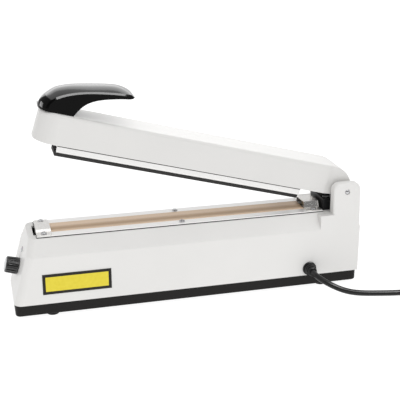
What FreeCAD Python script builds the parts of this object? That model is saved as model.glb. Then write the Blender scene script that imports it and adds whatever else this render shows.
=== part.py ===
import FreeCAD, Part
import Sketcher
import math
import os

# Hand impulse heat sealer for 300 mm bags: a hollow painted base on a black tray, a sealing rail along
# its deck, and a sprung arm hinged between two ears that presses a rubber-faced bar on the rail.
# +X runs from the timer knob to the hinge, +Y to the back, +Z up; the origin is under the middle.

SIZES = {
    # base housing
    "body_length": 420,
    "body_width": 85,
    "knob_overhang": 7.94,
    "skirt_level": 17.5,
    "deck_level": 92.5,
    "ridge_drop": 17,
    "deck_width": 56,
    "end_setback": 21.4,
    "wall": 2.5,
    "end_round": 9,
    "ridge_round": 4,
    "badge_start": 33,
    "badge_length": 79,
    "badge_low": 29.3,
    "badge_height": 24.7,
    "badge_sheet": 0.5,
    "badge_round": 1,
    "slot_play": 0.3,
    "slot_start": 28,
    "slot_end_margin": 41.5,
    # hinge ears and pin
    "ear_length": 35,
    "ear_thickness": 13,
    "ear_rise": 10.8,
    "ear_round": 9,
    "ear_edge_round": 3,
    "ear_lean": 3.5,
    "ear_step": 16,
    "pin_from_end": 17.5,
    "pin_rise": 27.5,
    "pin_radius": 2.5,
    "rivet_radius": 3.2,
    "rivet_height": 1.6,
    "running_fit": 0.05,
    "screw_play": 0.15,
    # tray and feet
    "tray_width": 83.6,
    "tray_inset": 0.8,
    "tray_wall": 1.5,
    "tray_round": 6,
    "tray_edge_round": 2,
    "foot_height": 4,
    "foot_radius": 8,
    "foot_from_end": 44,
    "foot_from_axis": 30,
    "foot_bore": 3.2,
    "screw_radius": 2,
    "screw_head_radius": 3,
    "screw_head_height": 1.8,
    "nut_radius": 4.5,
    "nut_height": 3.2,
    # sealing rail and what lies on it
    "rail_start": 31,
    "rail_length": 346,
    "rail_width": 52,
    "rail_flange": 1.7,
    "rail_leg_gap": 26,
    "rail_leg": 2,
    "rail_depth": 12,
    "strip_start": 48.7,
    "strip_length": 308,
    "insulation_width": 22,
    "film": 0.3,
    "element_width": 2.4,
    "element_thickness": 0.2,
    "cover_width": 28,
    "clip_left_length": 17.2,
    "clip_right_length": 19,
    "clip_gap": 0.5,
    "clip_sheet": 1.1,
    "clip_left_rise": 3.4,
    "clip_right_rise": 8,
    "clip_lean": 2.6,
    "clip_crown_width": 27,
    "clip_foot_round": 3,
    "deck_screw_radius": 1.5,
    "deck_screw_reach": 4.5,
    "tab_inset": 6,
    "terminal_length": 9,
    "terminal_width": 10,
    "terminal_height": 1.2,
    "terminal_inset": 4,
    "clip_screw_y": 20.5,
    "rail_screw_x": 201.8,
    "rail_screw_y": 19,
    # timer knob and lamp
    "knob_level": 50,
    "knob_radius": 10,
    "knob_length": 14.5,
    "knob_gap": 0.6,
    "knob_flutes": 16,
    "flute_radius": 1.3,
    "cap_radius": 7.6,
    "cap_height": 0.8,
    "shaft_radius": 3,
    "shaft_grip": 9,
    "shaft_play": 0.3,
    "shaft_inner": 0.4,
    "pot_radius": 8,
    "pot_depth": 9,
    "lamp_level": 70.5,
    "lamp_radius": 2.6,
    "lamp_proud": 1.2,
    "lamp_depth": 12,
    # arm, in its own frame: the pin axis is the origin and the arm lies flat
    "open_angle": 14.7,
    "arm_length": 378,
    "arm_width": 54,
    "arm_top": 24.8,
    "arm_skirt": 9.8,
    "arm_wall": 2.5,
    "arm_nose_round": 22,
    "arm_edge_round": 4,
    "arm_shoulder": 24,
    "hub_width": 50,
    "hub_reach": 11.8,
    "hub_round": 30,
    "bush_radius": 5,
    "bush_flange_radius": 7.5,
    "ear_play": 0.4,
    "bar_start": 350,
    "bar_end": 50,
    "bar_width": 31,
    "bar_top": 3,
    "bar_bottom": 20.2,
    "bar_groove": 5.5,
    "bar_lip": 2.2,
    "seal_plane": 24.7,
    "rubber_play": 0.1,
    "post_radius": 4.5,
    "post_left": 306,
    "post_right": 90,
    "handle_width": 44,
    "handle_overhang": 1,
    "handle_bevel": 1.2,
    "handle_screw_x": 21.5,
    "handle_screw_pitch": 16,
    # return springs under the hub
    "spring_box_from_pin": 23.5,
    "spring_box_length": 16,
    "spring_box_width": 43,
    "spring_box_height": 14.5,
    "spring_box_floor": 2.5,
    "spring_wire": 1.4,
    "spring_radius": 5,
    "spring_turns": 4,
    "spring_offset": 11.5,
    "spring_rise": 21.5,
    "spring_bore_play": 0.8,
    "seat_skirt": 8,
    "seat_length": 16,
    "seat_width": 36,
    "seat_play": 0.3,
    # inside the base
    "core_length": 62,
    "core_width": 52,
    "core_height": 50,
    "core_window": 12,
    "core_limb": 11,
    "coil_play": 0.4,
    "transformer_x": 268,
    "board_x": 120,
    "board_length": 90,
    "board_width": 60,
    "board_sheet": 1.6,
    "standoff_height": 8,
    "standoff_radius": 3,
    "standoff_inset": 5,
    "relay_length": 20,
    "relay_width": 16,
    "relay_height": 16,
    "relay_x": 12,
    "relay_y": 10,
    "heatsink_height": 24,
    "heatsink_x": 50,
    "heatsink_y": 12,
    "heatsink_sheet": 2.4,
    "heatsink_fins": 6,
    "fin_pitch": 5,
    "fin_depth": 13,
    "switch_length": 20,
    "switch_width": 6.4,
    "switch_height": 10,
    "switch_gap": 0.4,
    "plunger_radius": 1.4,
    "plunger_length": 34,
    "plunger_rise": 22.6,
    "plunger_travel": 3.5,
    "bracket_sheet": 1.5,
    "bracket_flange": 9,
    # mains lead
    "gland_from_end": 64,
    "gland_level": 26.5,
    "gland_flange_radius": 8.6,
    "gland_flange": 2.5,
    "gland_boot": 10,
    "gland_root_radius": 6.4,
    "gland_nut_radius": 8,
    "gland_nut": 6,
    "cord_radius": 3.5,
    "cord_straight": 10,
    "coil_from_gland": 184,
    "coil_from_front": 0.5,
    "coil_radius": 46,
    "coil_gap": 0.7,
    "coil_lift": 0.1,
    "coil_climb_in": 2.4,
    "coil_climb_out": 5.9,
    "coil_tail": 14,
    "tie_width": 9,
    "tie_sheet": 1,
    "tie_play": 0.3,
    "plug_length": 46,
    "plug_radius": 12.3,
    "plug_neck_radius": 5.5,
    "plug_pin_radius": 2.4,
    "plug_pin_length": 19,
    "plug_pin_pitch": 19,
}

doc = FreeCAD.newDocument("impulse_heat_sealer")
sheet = doc.addObject("Spreadsheet::Sheet", "sizes")
for row, (alias, number) in enumerate(SIZES.items(), start=1):
    sheet.set(f"A{row}", alias)
    sheet.set(f"B{row}", str(number))
    sheet.setAlias(f"B{row}", alias)
doc.recompute()

X_AXIS = FreeCAD.Vector(1, 0, 0)
Y_AXIS = FreeCAD.Vector(0, 1, 0)
Z_AXIS = FreeCAD.Vector(0, 0, 1)
pieces = []


def value(expression):
    """The number that an expression over the sizes comes to."""
    result = sheet.evalExpression(expression)
    return float(getattr(result, "Value", result))


def bind(obj, **expressions):
    for name, expression in expressions.items():
        obj.setExpression(name.replace("__", "."), expression)
    return obj


def place(obj, x="0", y="0", z="0"):
    return bind(obj, Placement__Base__x=x, Placement__Base__y=y, Placement__Base__z=z)


def box(name, x, y, z, length, width, height):
    """A block from its lowest corner."""
    block = doc.addObject("Part::Box", name)
    bind(block, Length=length, Width=width, Height=height)
    return place(block, x, y, z)


def rod(name, x, y, z, radius, height, along=Z_AXIS):
    """A cylinder from the middle of its first end."""
    cylinder = doc.addObject("Part::Cylinder", name)
    bind(cylinder, Radius=radius, Height=height)
    cylinder.Placement = FreeCAD.Placement(FreeCAD.Vector(), FreeCAD.Rotation(Z_AXIS, along))
    return place(cylinder, x, y, z)


def taper(name, x, y, z, radius, end_radius, height, along=Z_AXIS):
    cone = doc.addObject("Part::Cone", name)
    bind(cone, Radius1=radius, Radius2=end_radius, Height=height)
    cone.Placement = FreeCAD.Placement(FreeCAD.Vector(), FreeCAD.Rotation(Z_AXIS, along))
    return place(cone, x, y, z)


def fuse(name, *shapes):
    joined = doc.addObject("Part::MultiFuse", name)
    joined.Shapes = list(shapes)
    return joined


def cut(name, base, *tools):
    result = doc.addObject("Part::Cut", name)
    result.Base = base
    result.Tool = tools[0] if len(tools) == 1 else fuse(f"{name}_tools", *tools)
    return result


def common(name, first, second):
    result = doc.addObject("Part::Common", name)
    result.Base = first
    result.Tool = second
    return result


def group(name, *solids):
    """Identical small pieces that share one node as separate solids."""
    compound = doc.addObject("Part::Compound", name)
    compound.Links = list(solids)
    return compound


def solid(name, shape):
    feature = doc.addObject("Part::Feature", name)
    feature.Shape = shape
    return feature


def pad(name, plane, corners, start, depth):
    """A body padded from a straight-sided outline; XZ outlines run towards the front from start."""
    body = doc.addObject("PartDesign::Body", name)
    planes = {feature.Role: feature for feature in body.Origin.OriginFeatures}
    sketch = body.newObject("Sketcher::SketchObject", f"{name}_outline")
    sketch.AttachmentSupport = (planes[f"{plane}_Plane"], [""])
    sketch.MapMode = "FlatFace"
    points = [FreeCAD.Vector(value(across), value(up), 0) for across, up in corners]
    count = len(points)
    for index, point in enumerate(points):
        sketch.addGeometry(Part.LineSegment(point, points[(index + 1) % count]))
    for index in range(count):
        sketch.addConstraint(Sketcher.Constraint("Coincident", index, 2, (index + 1) % count, 1))
    for index, (point, corner) in enumerate(zip(points, corners)):
        for kind, number, expression, axis in (
            ("DistanceX", point.x, corner[0], -2),
            ("DistanceY", point.y, corner[1], -1),
        ):
            if abs(number) < 1e-9:
                sketch.addConstraint(Sketcher.Constraint("PointOnObject", index, 1, axis))
                continue
            mark = sketch.addConstraint(Sketcher.Constraint(kind, -1, 1, index, 1, number))
            sketch.setExpression(f"Constraints[{mark}]", expression)
    offset = f"-({start})" if plane == "XZ" else start
    bind(sketch, AttachmentOffset__Base__z=offset)
    feature = body.newObject("PartDesign::Pad", f"{name}_pad")
    feature.Profile = sketch
    bind(feature, Length=depth)
    doc.recompute()
    return body


def rounded(name, base, radius, chosen):
    """A copy of a shape with the edges that the test picks rounded."""
    doc.recompute()
    fillet = doc.addObject("Part::Fillet", name)
    fillet.Base = base
    size = value(radius)
    fillet.Edges = [
        (number, size, size)
        for number, edge in enumerate(base.Shape.Edges, start=1)
        if chosen(edge)
    ]
    return fillet


def piece(obj, label):
    obj.Label = label
    pieces.append(obj)
    return obj


def on_arm(obj):
    """Turns a piece made in the arm's own frame up to the open arm."""
    obj.Placement = FreeCAD.Placement(FreeCAD.Vector(), FreeCAD.Rotation(Y_AXIS, 1))
    bind(obj, Placement__Rotation__Angle="sizes.open_angle")
    return place(obj, PIN_X, "0", PIN_Z)


def runs(edge, direction):
    """True for a straight edge along a direction."""
    if edge.Curve.TypeId != "Part::GeomLine":
        return False
    return abs(abs(edge.tangentAt(edge.FirstParameter).dot(direction)) - 1) < 1e-6


# Places that several pieces share.
LEFT = "(-(sizes.body_length - sizes.knob_overhang) / 2)"
RIGHT = f"({LEFT} + sizes.body_length)"
PIN_X = f"({RIGHT} - sizes.pin_from_end)"
PIN_Z = "(sizes.deck_level + sizes.pin_rise)"
EAR_TOP = f"({PIN_Z} + sizes.ear_rise)"
SIDE = "(sizes.body_width / 2)"
SLOPE = "(sizes.end_setback / (sizes.deck_level - sizes.skirt_level))"
SLOPE_ANGLE = f"atan({SLOPE})"
TRAY_FLOOR = "(sizes.foot_height + sizes.tray_wall)"
RAIL_TOP = "(sizes.deck_level + sizes.rail_flange)"
RAIL_X = f"({LEFT} + sizes.rail_start)"
PLUNGER_BORE = "sizes.plunger_radius + sizes.running_fit"
DECK_HOLE = "sizes.deck_screw_radius + sizes.screw_play"
SCREW_HOLE = "sizes.screw_radius + sizes.screw_play"
STRIP_X = f"({LEFT} + sizes.strip_start)"
STRIP_END = f"({STRIP_X} + sizes.strip_length)"


# Base housing: the long section and the sloped end cross each other, and the same pair one wall
# smaller hollows it; the ears rise flush with the side walls.
def housing_form(name, inset, floor):
    """The common solid of the long section and the side outline, inset by a wall."""
    side = f"({SIDE} - {inset})"
    deck_side = f"(sizes.deck_width / 2 - {inset} * 0.4)"
    deck = f"(sizes.deck_level - {inset})"
    section = pad(
        f"{name}_section",
        "YZ",
        [
            (f"-{side}", floor),
            (side, floor),
            (side, f"((sizes.deck_level - sizes.ridge_drop) - {inset} * 0.4)"),
            (deck_side, deck),
            (f"-{deck_side}", deck),
            (f"-{side}", f"((sizes.deck_level - sizes.ridge_drop) - {inset} * 0.4)"),
        ],
        LEFT,
        "sizes.body_length",
    )
    foot_x = f"({LEFT} + {inset} * 1.04 + ({floor} - sizes.skirt_level) * {SLOPE})"
    deck_x = f"({LEFT} + {inset} * 1.04 + ({deck} - sizes.skirt_level) * {SLOPE})"
    side_view = pad(
        f"{name}_side",
        "XZ",
        [(foot_x, floor), (f"{RIGHT} - {inset}", floor), (f"{RIGHT} - {inset}", deck), (deck_x, deck)],
        SIDE,
        "sizes.body_width",
    )
    return common(f"{name}_form", section, side_view)


def ear(name, side):
    """One hinge ear and its step: upright to the ridge, then leaning in to a rounded top."""
    ridge = "(sizes.deck_level - sizes.ridge_drop)"
    foot = f"{ridge} - 6"
    step_left = f"{RIGHT} - sizes.ear_length - sizes.ear_step"
    ear_left = f"{RIGHT} - sizes.ear_length"
    plate = pad(
        f"{name}_plate",
        "XZ",
        [
            (step_left, foot),
            (RIGHT, foot),
            (RIGHT, EAR_TOP),
            (ear_left, EAR_TOP),
            (ear_left, "sizes.deck_level"),
            (step_left, "sizes.deck_level"),
        ],
        SIDE,
        "sizes.body_width",
    )
    top = value(EAR_TOP)
    outline = rounded(
        f"{name}_outline",
        plate,
        "sizes.ear_round",
        lambda edge: runs(edge, Y_AXIS) and abs(edge.CenterOfMass.z - top) < 0.01,
    )
    inner = f"{side} * ({SIDE} - sizes.ear_thickness)"
    section = pad(
        f"{name}_section",
        "YZ",
        [
            (inner, foot),
            (f"{side} * {SIDE}", foot),
            (f"{side} * {SIDE}", ridge),
            (f"{side} * ({SIDE} - sizes.ear_lean)", EAR_TOP),
            (inner, EAR_TOP),
        ],
        step_left,
        "sizes.ear_length + sizes.ear_step",
    )
    leaning = common(f"{name}_leaning", outline, section)
    doc.recompute()
    left = value(ear_left)
    middle = value(f"{SIDE} - sizes.ear_thickness / 2")
    deck = value("sizes.deck_level")

    def outer_rim(edge):
        across = edge.BoundBox
        nearest = min(abs(across.YMin), abs(across.YMax))
        on_ear = across.ZMax > deck + 5 and across.XMin > left - 0.01
        return on_ear and nearest > middle and not rear_edge(edge)

    def rear_edge(edge):
        return abs(edge.BoundBox.XMin - value(RIGHT)) < 0.01 and abs(edge.BoundBox.XMax - value(RIGHT)) < 0.01

    return rounded(f"{name}_soft", leaning, "sizes.ear_edge_round", outer_rim)


def make_housing():
    outer = housing_form("shell", "0", "sizes.skirt_level")
    inner = housing_form("cavity", "sizes.wall", "sizes.skirt_level - 1")
    doc.recompute()
    end_limit = value(f"{LEFT} + sizes.end_setback + 2 * sizes.wall")

    def end_corner(edge):
        return edge.CenterOfMass.x < end_limit and not runs(edge, Y_AXIS) and not runs(edge, X_AXIS)

    soft = rounded("shell_corners", outer, "sizes.end_round", end_corner)
    hollow = rounded("cavity_corners", inner, "sizes.end_round - sizes.wall", end_corner)
    doc.recompute()
    ridge = value("sizes.deck_level - sizes.ridge_drop")
    ridged = rounded(
        "shell_ridges",
        soft,
        "sizes.ridge_round",
        lambda edge: runs(edge, X_AXIS) and abs(edge.CenterOfMass.z - ridge) < 0.01,
    )
    body = cut("shell_hollow", fuse("shell_ears", ridged, ear("front_ear", -1), ear("back_ear", 1)), hollow)
    slot_side = "(sizes.rail_leg_gap / 2 + sizes.rail_leg + sizes.slot_play)"
    slot = box(
        "rail_slot",
        f"{LEFT} + sizes.slot_start",
        f"-{slot_side}",
        "sizes.deck_level - 2 * sizes.wall",
        "sizes.body_length - sizes.slot_start - sizes.slot_end_margin",
        f"2 * {slot_side}",
        "4 * sizes.wall",
    )
    pin_bore = rod(
        "ear_bore",
        PIN_X,
        f"-{SIDE} - 1",
        PIN_Z,
        "sizes.pin_radius + sizes.running_fit",
        "sizes.body_width + 2",
        Y_AXIS,
    )
    recesses = [
        rod(
            f"rivet_recess_{name}",
            PIN_X,
            f"{side} * ({SIDE} - sizes.ear_lean)",
            PIN_Z,
            "sizes.rivet_radius + sizes.screw_play",
            "2 * sizes.ear_lean",
            FreeCAD.Vector(0, side, 0),
        )
        for name, side in (("front", -1), ("back", 1))
    ]
    start = "-2 * sizes.wall"
    deep = "4 * sizes.wall"
    knob_hole = "sizes.shaft_radius + sizes.shaft_play"
    lamp_hole = "sizes.lamp_radius + sizes.screw_play"
    knob_bore = end_rod("shaft_bore", "sizes.knob_level", start, knob_hole, deep)
    lamp_bore = end_rod("lamp_bore", "sizes.lamp_level", start, lamp_hole, deep)
    gland_bore = rod(
        "gland_bore",
        f"{RIGHT} - sizes.gland_from_end",
        f"-{SIDE} - 1",
        "sizes.gland_level",
        "sizes.gland_root_radius + sizes.screw_play",
        "2 * sizes.wall",
        Y_AXIS,
    )
    plunger_x = f"{PIN_X} - sizes.spring_box_from_pin + sizes.spring_box_length / 2"
    under_deck = "sizes.deck_level - 2 * sizes.wall"
    plunger_bore = rod("deck_bore", plunger_x, "0", under_deck, PLUNGER_BORE, deep)
    screw_bores = [
        rod(f"deck_hole_{i}", x, y, under_deck, DECK_HOLE, deep)
        for i, (x, y) in enumerate(deck_screw_places())
    ]
    bores = [pin_bore, *recesses, knob_bore, lamp_bore, gland_bore, plunger_bore, *screw_bores]
    drilled = cut("housing_drilled", body, slot, *bores)
    piece(drilled, "base_housing")

    plate = box(
        "badge_block",
        f"{LEFT} + sizes.badge_start",
        f"-{SIDE} - sizes.badge_sheet",
        "sizes.badge_low",
        "sizes.badge_length",
        "sizes.badge_sheet",
        "sizes.badge_height",
    )
    piece(rounded("badge", plate, "sizes.badge_round", lambda edge: runs(edge, Y_AXIS)), "badge_plate")


def end_rod(name, level, start, radius, height):
    """A cylinder square to the sloped end, from a distance outside the face."""
    cylinder = doc.addObject("Part::Cylinder", name)
    bind(cylinder, Radius=radius, Height=height)
    return on_end(cylinder, level, start)


def on_end(obj, level, start):
    """Stands a piece made along +Z on the sloped end at a level, start mm outside the face."""
    obj.Placement = FreeCAD.Placement(FreeCAD.Vector(), FreeCAD.Rotation(Y_AXIS, 1))
    bind(obj, Placement__Rotation__Angle=f"{SLOPE_ANGLE} - 90 deg")
    run_x = f"cos({SLOPE_ANGLE}) * ({start})"
    run_z = f"sin({SLOPE_ANGLE}) * ({start})"
    face_x = f"({LEFT} + ({level} - sizes.skirt_level) * {SLOPE})"
    return place(obj, f"{face_x} - {run_x}", "0", f"{level} + {run_z}")


# Tray: a pressed steel pan under the housing, on four screwed rubber feet.
def feet_places():
    for side in (-1, 1):
        for x in (f"{LEFT} + sizes.foot_from_end", f"{RIGHT} - sizes.foot_from_end"):
            yield x, f"{side} * sizes.foot_from_axis"


def make_tray():
    left = f"({LEFT} + sizes.tray_inset)"
    length = "(sizes.body_length - 2 * sizes.tray_inset)"
    height = "(sizes.skirt_level - sizes.foot_height)"
    front = "-sizes.tray_width / 2"
    block = box("tray_block", left, front, "sizes.foot_height", length, "sizes.tray_width", height)
    corners = rounded("tray_corners", block, "sizes.tray_round", lambda edge: runs(edge, Z_AXIS))
    doc.recompute()
    bottom = value("sizes.foot_height")
    soft = rounded(
        "tray_soft",
        corners,
        "sizes.tray_edge_round",
        lambda edge: abs(edge.BoundBox.ZMax - bottom) < 0.01,
    )
    inside = box(
        "tray_inside",
        f"{left} + sizes.tray_wall",
        f"{front} + sizes.tray_wall",
        TRAY_FLOOR,
        f"{length} - 2 * sizes.tray_wall",
        "sizes.tray_width - 2 * sizes.tray_wall",
        height,
    )
    hollow = rounded(
        "tray_hollow", inside, "sizes.tray_round - sizes.tray_wall", lambda edge: runs(edge, Z_AXIS)
    )
    holes = [
        rod(f"tray_hole_{i}", x, y, "0", SCREW_HOLE, "3 * sizes.foot_height")
        for i, (x, y) in enumerate(feet_places())
    ]
    piece(cut("tray", soft, hollow, *holes), "bottom_tray")
    feet = []
    screws = []
    for i, (x, y) in enumerate(feet_places()):
        pad_round = taper(
            f"foot_{i}_block", x, y, "0", "sizes.foot_radius - 1", "sizes.foot_radius", "sizes.foot_height"
        )
        well = rod(f"foot_{i}_well", x, y, "-1", "sizes.foot_bore", "1 + sizes.foot_height * 0.6")
        hole = rod(f"foot_{i}_hole", x, y, "-1", SCREW_HOLE, "2 + sizes.foot_height")
        feet.append(cut(f"foot_{i}", pad_round, well, hole))
        head_base = "sizes.foot_height * 0.6"
        head = rod(
            f"tray_screw_{i}_head",
            x,
            y,
            f"{head_base} - sizes.screw_head_height",
            "sizes.screw_head_radius",
            "sizes.screw_head_height",
        )
        stem = rod(
            f"tray_screw_{i}_stem", x, y, head_base, "sizes.screw_radius", f"{TRAY_FLOOR} - {head_base} + 5"
        )
        screws.append(fuse(f"tray_screw_{i}", head, stem))
    piece(group("feet", *feet), "rubber_feet")
    piece(group("tray_screw_set", *screws), "foot_screws")
    nuts = []
    for i, (x, y) in enumerate(feet_places()):
        body = rod(f"nut_{i}_body", x, y, TRAY_FLOOR, "sizes.nut_radius", "sizes.nut_height")
        hole = rod(f"nut_{i}_hole", x, y, "0", SCREW_HOLE, "5 * sizes.foot_height")
        nuts.append(cut(f"nut_{i}", body, hole))
    piece(group("nut_set", *nuts), "foot_nuts")


# Sealing rail: an extruded section dropped in the deck slot; the element lies on its insulation under
# the coated cover, and plated clips hold the ends.
def make_rail():
    half = "sizes.rail_width / 2"
    inner = "sizes.rail_leg_gap / 2"
    outer = f"({inner} + sizes.rail_leg)"
    under = "sizes.deck_level"
    low = "(sizes.deck_level - sizes.rail_depth)"
    section = [
        (f"-{half}", under),
        (f"-{outer}", under),
        (f"-{outer}", low),
        (f"-({inner})", low),
        (f"-({inner})", under),
        (inner, under),
        (inner, low),
        (outer, low),
        (outer, under),
        (half, under),
        (half, RAIL_TOP),
        (f"-{half}", RAIL_TOP),
    ]
    rail = pad("rail_section", "YZ", section, RAIL_X, "sizes.rail_length")
    holes = [
        rod(f"rail_hole_{i}", x, y, "sizes.deck_level - 4", DECK_HOLE, "10")
        for i, (x, y) in enumerate(deck_screw_places())
    ]
    piece(cut("rail", rail, *holes), "sealing_rail")

    flat = "sizes.insulation_width / 2"
    piece(
        box("insulation", STRIP_X, f"-{flat}", RAIL_TOP, "sizes.strip_length", f"2 * {flat}", "sizes.film"),
        "insulation_strip",
    )
    element_base = f"({RAIL_TOP} + sizes.film)"
    element_left = f"({RAIL_X} + sizes.tab_inset)"
    ribbon = box(
        "ribbon",
        STRIP_X,
        "-sizes.element_width / 2",
        element_base,
        "sizes.strip_length",
        "sizes.element_width",
        "sizes.element_thickness",
    )
    tab_left = box(
        "ribbon_tab_left",
        element_left,
        "-sizes.element_width",
        element_base,
        f"{STRIP_X} - {element_left}",
        "2 * sizes.element_width",
        "sizes.element_thickness",
    )
    tab_right = box(
        "ribbon_tab_right",
        STRIP_END,
        "-sizes.element_width",
        element_base,
        "sizes.clip_right_length - sizes.tab_inset",
        "2 * sizes.element_width",
        "sizes.element_thickness",
    )
    piece(fuse("element", ribbon, tab_left, tab_right), "heating_element")

    edge = "sizes.cover_width / 2"
    step = "(sizes.insulation_width / 2 + sizes.film)"
    crest = "(sizes.element_width / 2 + sizes.film)"
    low_top = f"({element_base} + sizes.film)"
    high_top = f"({low_top} + sizes.element_thickness)"
    lift = "sizes.film"
    upper = [
        (f"-{edge}", f"{RAIL_TOP} + {lift}"),
        (f"-{step}", low_top),
        (f"-{crest}", low_top),
        (f"-{crest} + 0.2", high_top),
        (f"{crest} - 0.2", high_top),
        (crest, low_top),
        (step, low_top),
        (edge, f"{RAIL_TOP} + {lift}"),
    ]
    lower = [(across, f"{level} - {lift}") for across, level in reversed(upper)]
    piece(pad("cover", "YZ", upper + lower, STRIP_X, "sizes.strip_length"), "ptfe_cover")

    terminals = []
    right_clip_x = f"{STRIP_END} + sizes.clip_gap"
    for name, x in (("left", RAIL_X), ("right", right_clip_x)):
        block = box(
            f"terminal_{name}",
            f"{x} + sizes.terminal_inset",
            "-sizes.terminal_width / 2",
            f"{element_base} + sizes.element_thickness",
            "sizes.terminal_length",
            "sizes.terminal_width",
            "sizes.terminal_height",
        )
        terminals.append(block)
    piece(group("terminals", *terminals), "element_terminals")

    make_clip("end_clip_left", RAIL_X, "sizes.clip_left_length", "sizes.clip_left_rise")
    make_clip("end_clip_right", right_clip_x, "sizes.clip_right_length", "sizes.clip_right_rise")
    screws = []
    for i, (x, y) in enumerate(deck_screw_places()):
        under_clip = i < CLIP_SCREWS
        seat = f"({RAIL_TOP} + sizes.clip_sheet)" if under_clip else RAIL_TOP
        head = rod(f"deck_screw_{i}_head", x, y, seat, "sizes.screw_head_radius", "sizes.screw_head_height")
        stem = rod(
            f"deck_screw_{i}_stem",
            x,
            y,
            "sizes.deck_level - sizes.deck_screw_reach",
            "sizes.deck_screw_radius",
            f"{seat} - sizes.deck_level + sizes.deck_screw_reach",
        )
        screws.append(fuse(f"deck_screw_{i}", head, stem))
    piece(group("clip_screw_set", *screws[:CLIP_SCREWS]), "clip_screws")
    piece(group("rail_screw_set", *screws[CLIP_SCREWS:]), "rail_screws")


CLIP_SCREWS = 4


def deck_screw_places():
    """Two screws on each end clip, then two beside the strip at mid length."""
    clip_left = f"{RAIL_X} + sizes.clip_left_length / 2"
    clip_right = f"{STRIP_END} + sizes.clip_gap + sizes.clip_right_length / 2"
    for x in (clip_left, clip_right):
        for side in (-1, 1):
            yield x, f"{side} * sizes.clip_screw_y"
    for side in (-1, 1):
        yield f"{LEFT} + sizes.rail_screw_x", f"{side} * sizes.rail_screw_y"


def make_clip(label, x, length, rise):
    """A pressed clip: two flat feet and a raised crown over the element's tab and terminal."""
    foot = "(sizes.rail_width / 2 - 0.5)"
    crown = "sizes.clip_crown_width / 2"
    upper = [
        (f"-{foot}", f"{RAIL_TOP} + sizes.clip_sheet"),
        (f"-{crown} - sizes.clip_sheet", f"{RAIL_TOP} + sizes.clip_sheet"),
        (f"-{crown} - sizes.clip_sheet + sizes.clip_lean", f"{RAIL_TOP} + {rise}"),
        (f"{crown} + sizes.clip_sheet - sizes.clip_lean", f"{RAIL_TOP} + {rise}"),
        (f"{crown} + sizes.clip_sheet", f"{RAIL_TOP} + sizes.clip_sheet"),
        (foot, f"{RAIL_TOP} + sizes.clip_sheet"),
    ]
    ceiling = f"{RAIL_TOP} + {rise} - sizes.clip_sheet"
    lower = [
        (foot, RAIL_TOP),
        (crown, RAIL_TOP),
        (f"{crown} - sizes.clip_lean", ceiling),
        (f"-{crown} + sizes.clip_lean", ceiling),
        (f"-{crown}", RAIL_TOP),
        (f"-{foot}", RAIL_TOP),
    ]
    strip = pad(f"{label}_strip", "YZ", upper + lower, x, length)
    soft = rounded(f"{label}_soft", strip, "sizes.clip_foot_round", lambda edge: runs(edge, Z_AXIS))
    middle = f"{x} + {length} / 2"
    holes = [
        rod(f"{label}_hole_{i}", middle, f"{side} * sizes.clip_screw_y", RAIL_TOP, DECK_HOLE, "5")
        for i, side in enumerate((-1, 1))
    ]
    piece(cut(f"{label}_drilled", soft, *holes), label)


# Timer knob on its shaft, the potentiometer behind the end wall, and the lamp above.
def make_knob():
    body = doc.addObject("Part::Cone", "knob_body")
    bind(body, Radius1="sizes.knob_radius", Radius2="sizes.knob_radius - 0.5", Height="sizes.knob_length")
    flutes = []
    count = int(value("sizes.knob_flutes"))
    for index in range(count):
        turn = f"{index} * 360 / sizes.knob_flutes"
        flute = rod(
            f"flute_{index}",
            f"sizes.knob_radius * cos({turn})",
            f"sizes.knob_radius * sin({turn})",
            "1.5",
            "sizes.flute_radius",
            "sizes.knob_length",
        )
        flutes.append(flute)
    socket_radius = "sizes.shaft_radius + sizes.running_fit"
    socket = rod("knob_socket", "0", "0", "-1", socket_radius, "1 + sizes.shaft_grip")
    knob = cut("knob_fluted", body, *flutes, socket)
    piece(on_end(knob, "sizes.knob_level", "sizes.knob_gap"), "time_knob")
    cap = doc.addObject("Part::Cone", "cap_body")
    bind(cap, Radius1="sizes.cap_radius", Radius2="sizes.cap_radius - 0.6", Height="sizes.cap_height")
    piece(on_end(cap, "sizes.knob_level", "sizes.knob_gap + sizes.knob_length"), "knob_cap")
    inner = "(sizes.wall + sizes.shaft_inner)"
    shaft_length = f"{inner} + sizes.knob_gap + sizes.shaft_grip"
    shaft = end_rod("shaft", "sizes.knob_level", f"-{inner}", "sizes.shaft_radius", shaft_length)
    piece(shaft, "knob_shaft")
    pot_start = f"-{inner} - sizes.running_fit - sizes.pot_depth"
    pot = end_rod("pot", "sizes.knob_level", pot_start, "sizes.pot_radius", "sizes.pot_depth")
    piece(pot, "timer_potentiometer")
    lens = end_rod(
        "lamp_barrel", "sizes.lamp_level", "-sizes.lamp_depth", "sizes.lamp_radius", "sizes.lamp_depth"
    )
    bezel = doc.addObject("Part::Cone", "lamp_bezel")
    bind(bezel, Radius1="sizes.lamp_radius + 0.7", Radius2="sizes.lamp_radius", Height="sizes.lamp_proud")
    on_end(bezel, "sizes.lamp_level", "0")
    piece(fuse("lamp", lens, bezel), "indicator_lamp")


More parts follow.
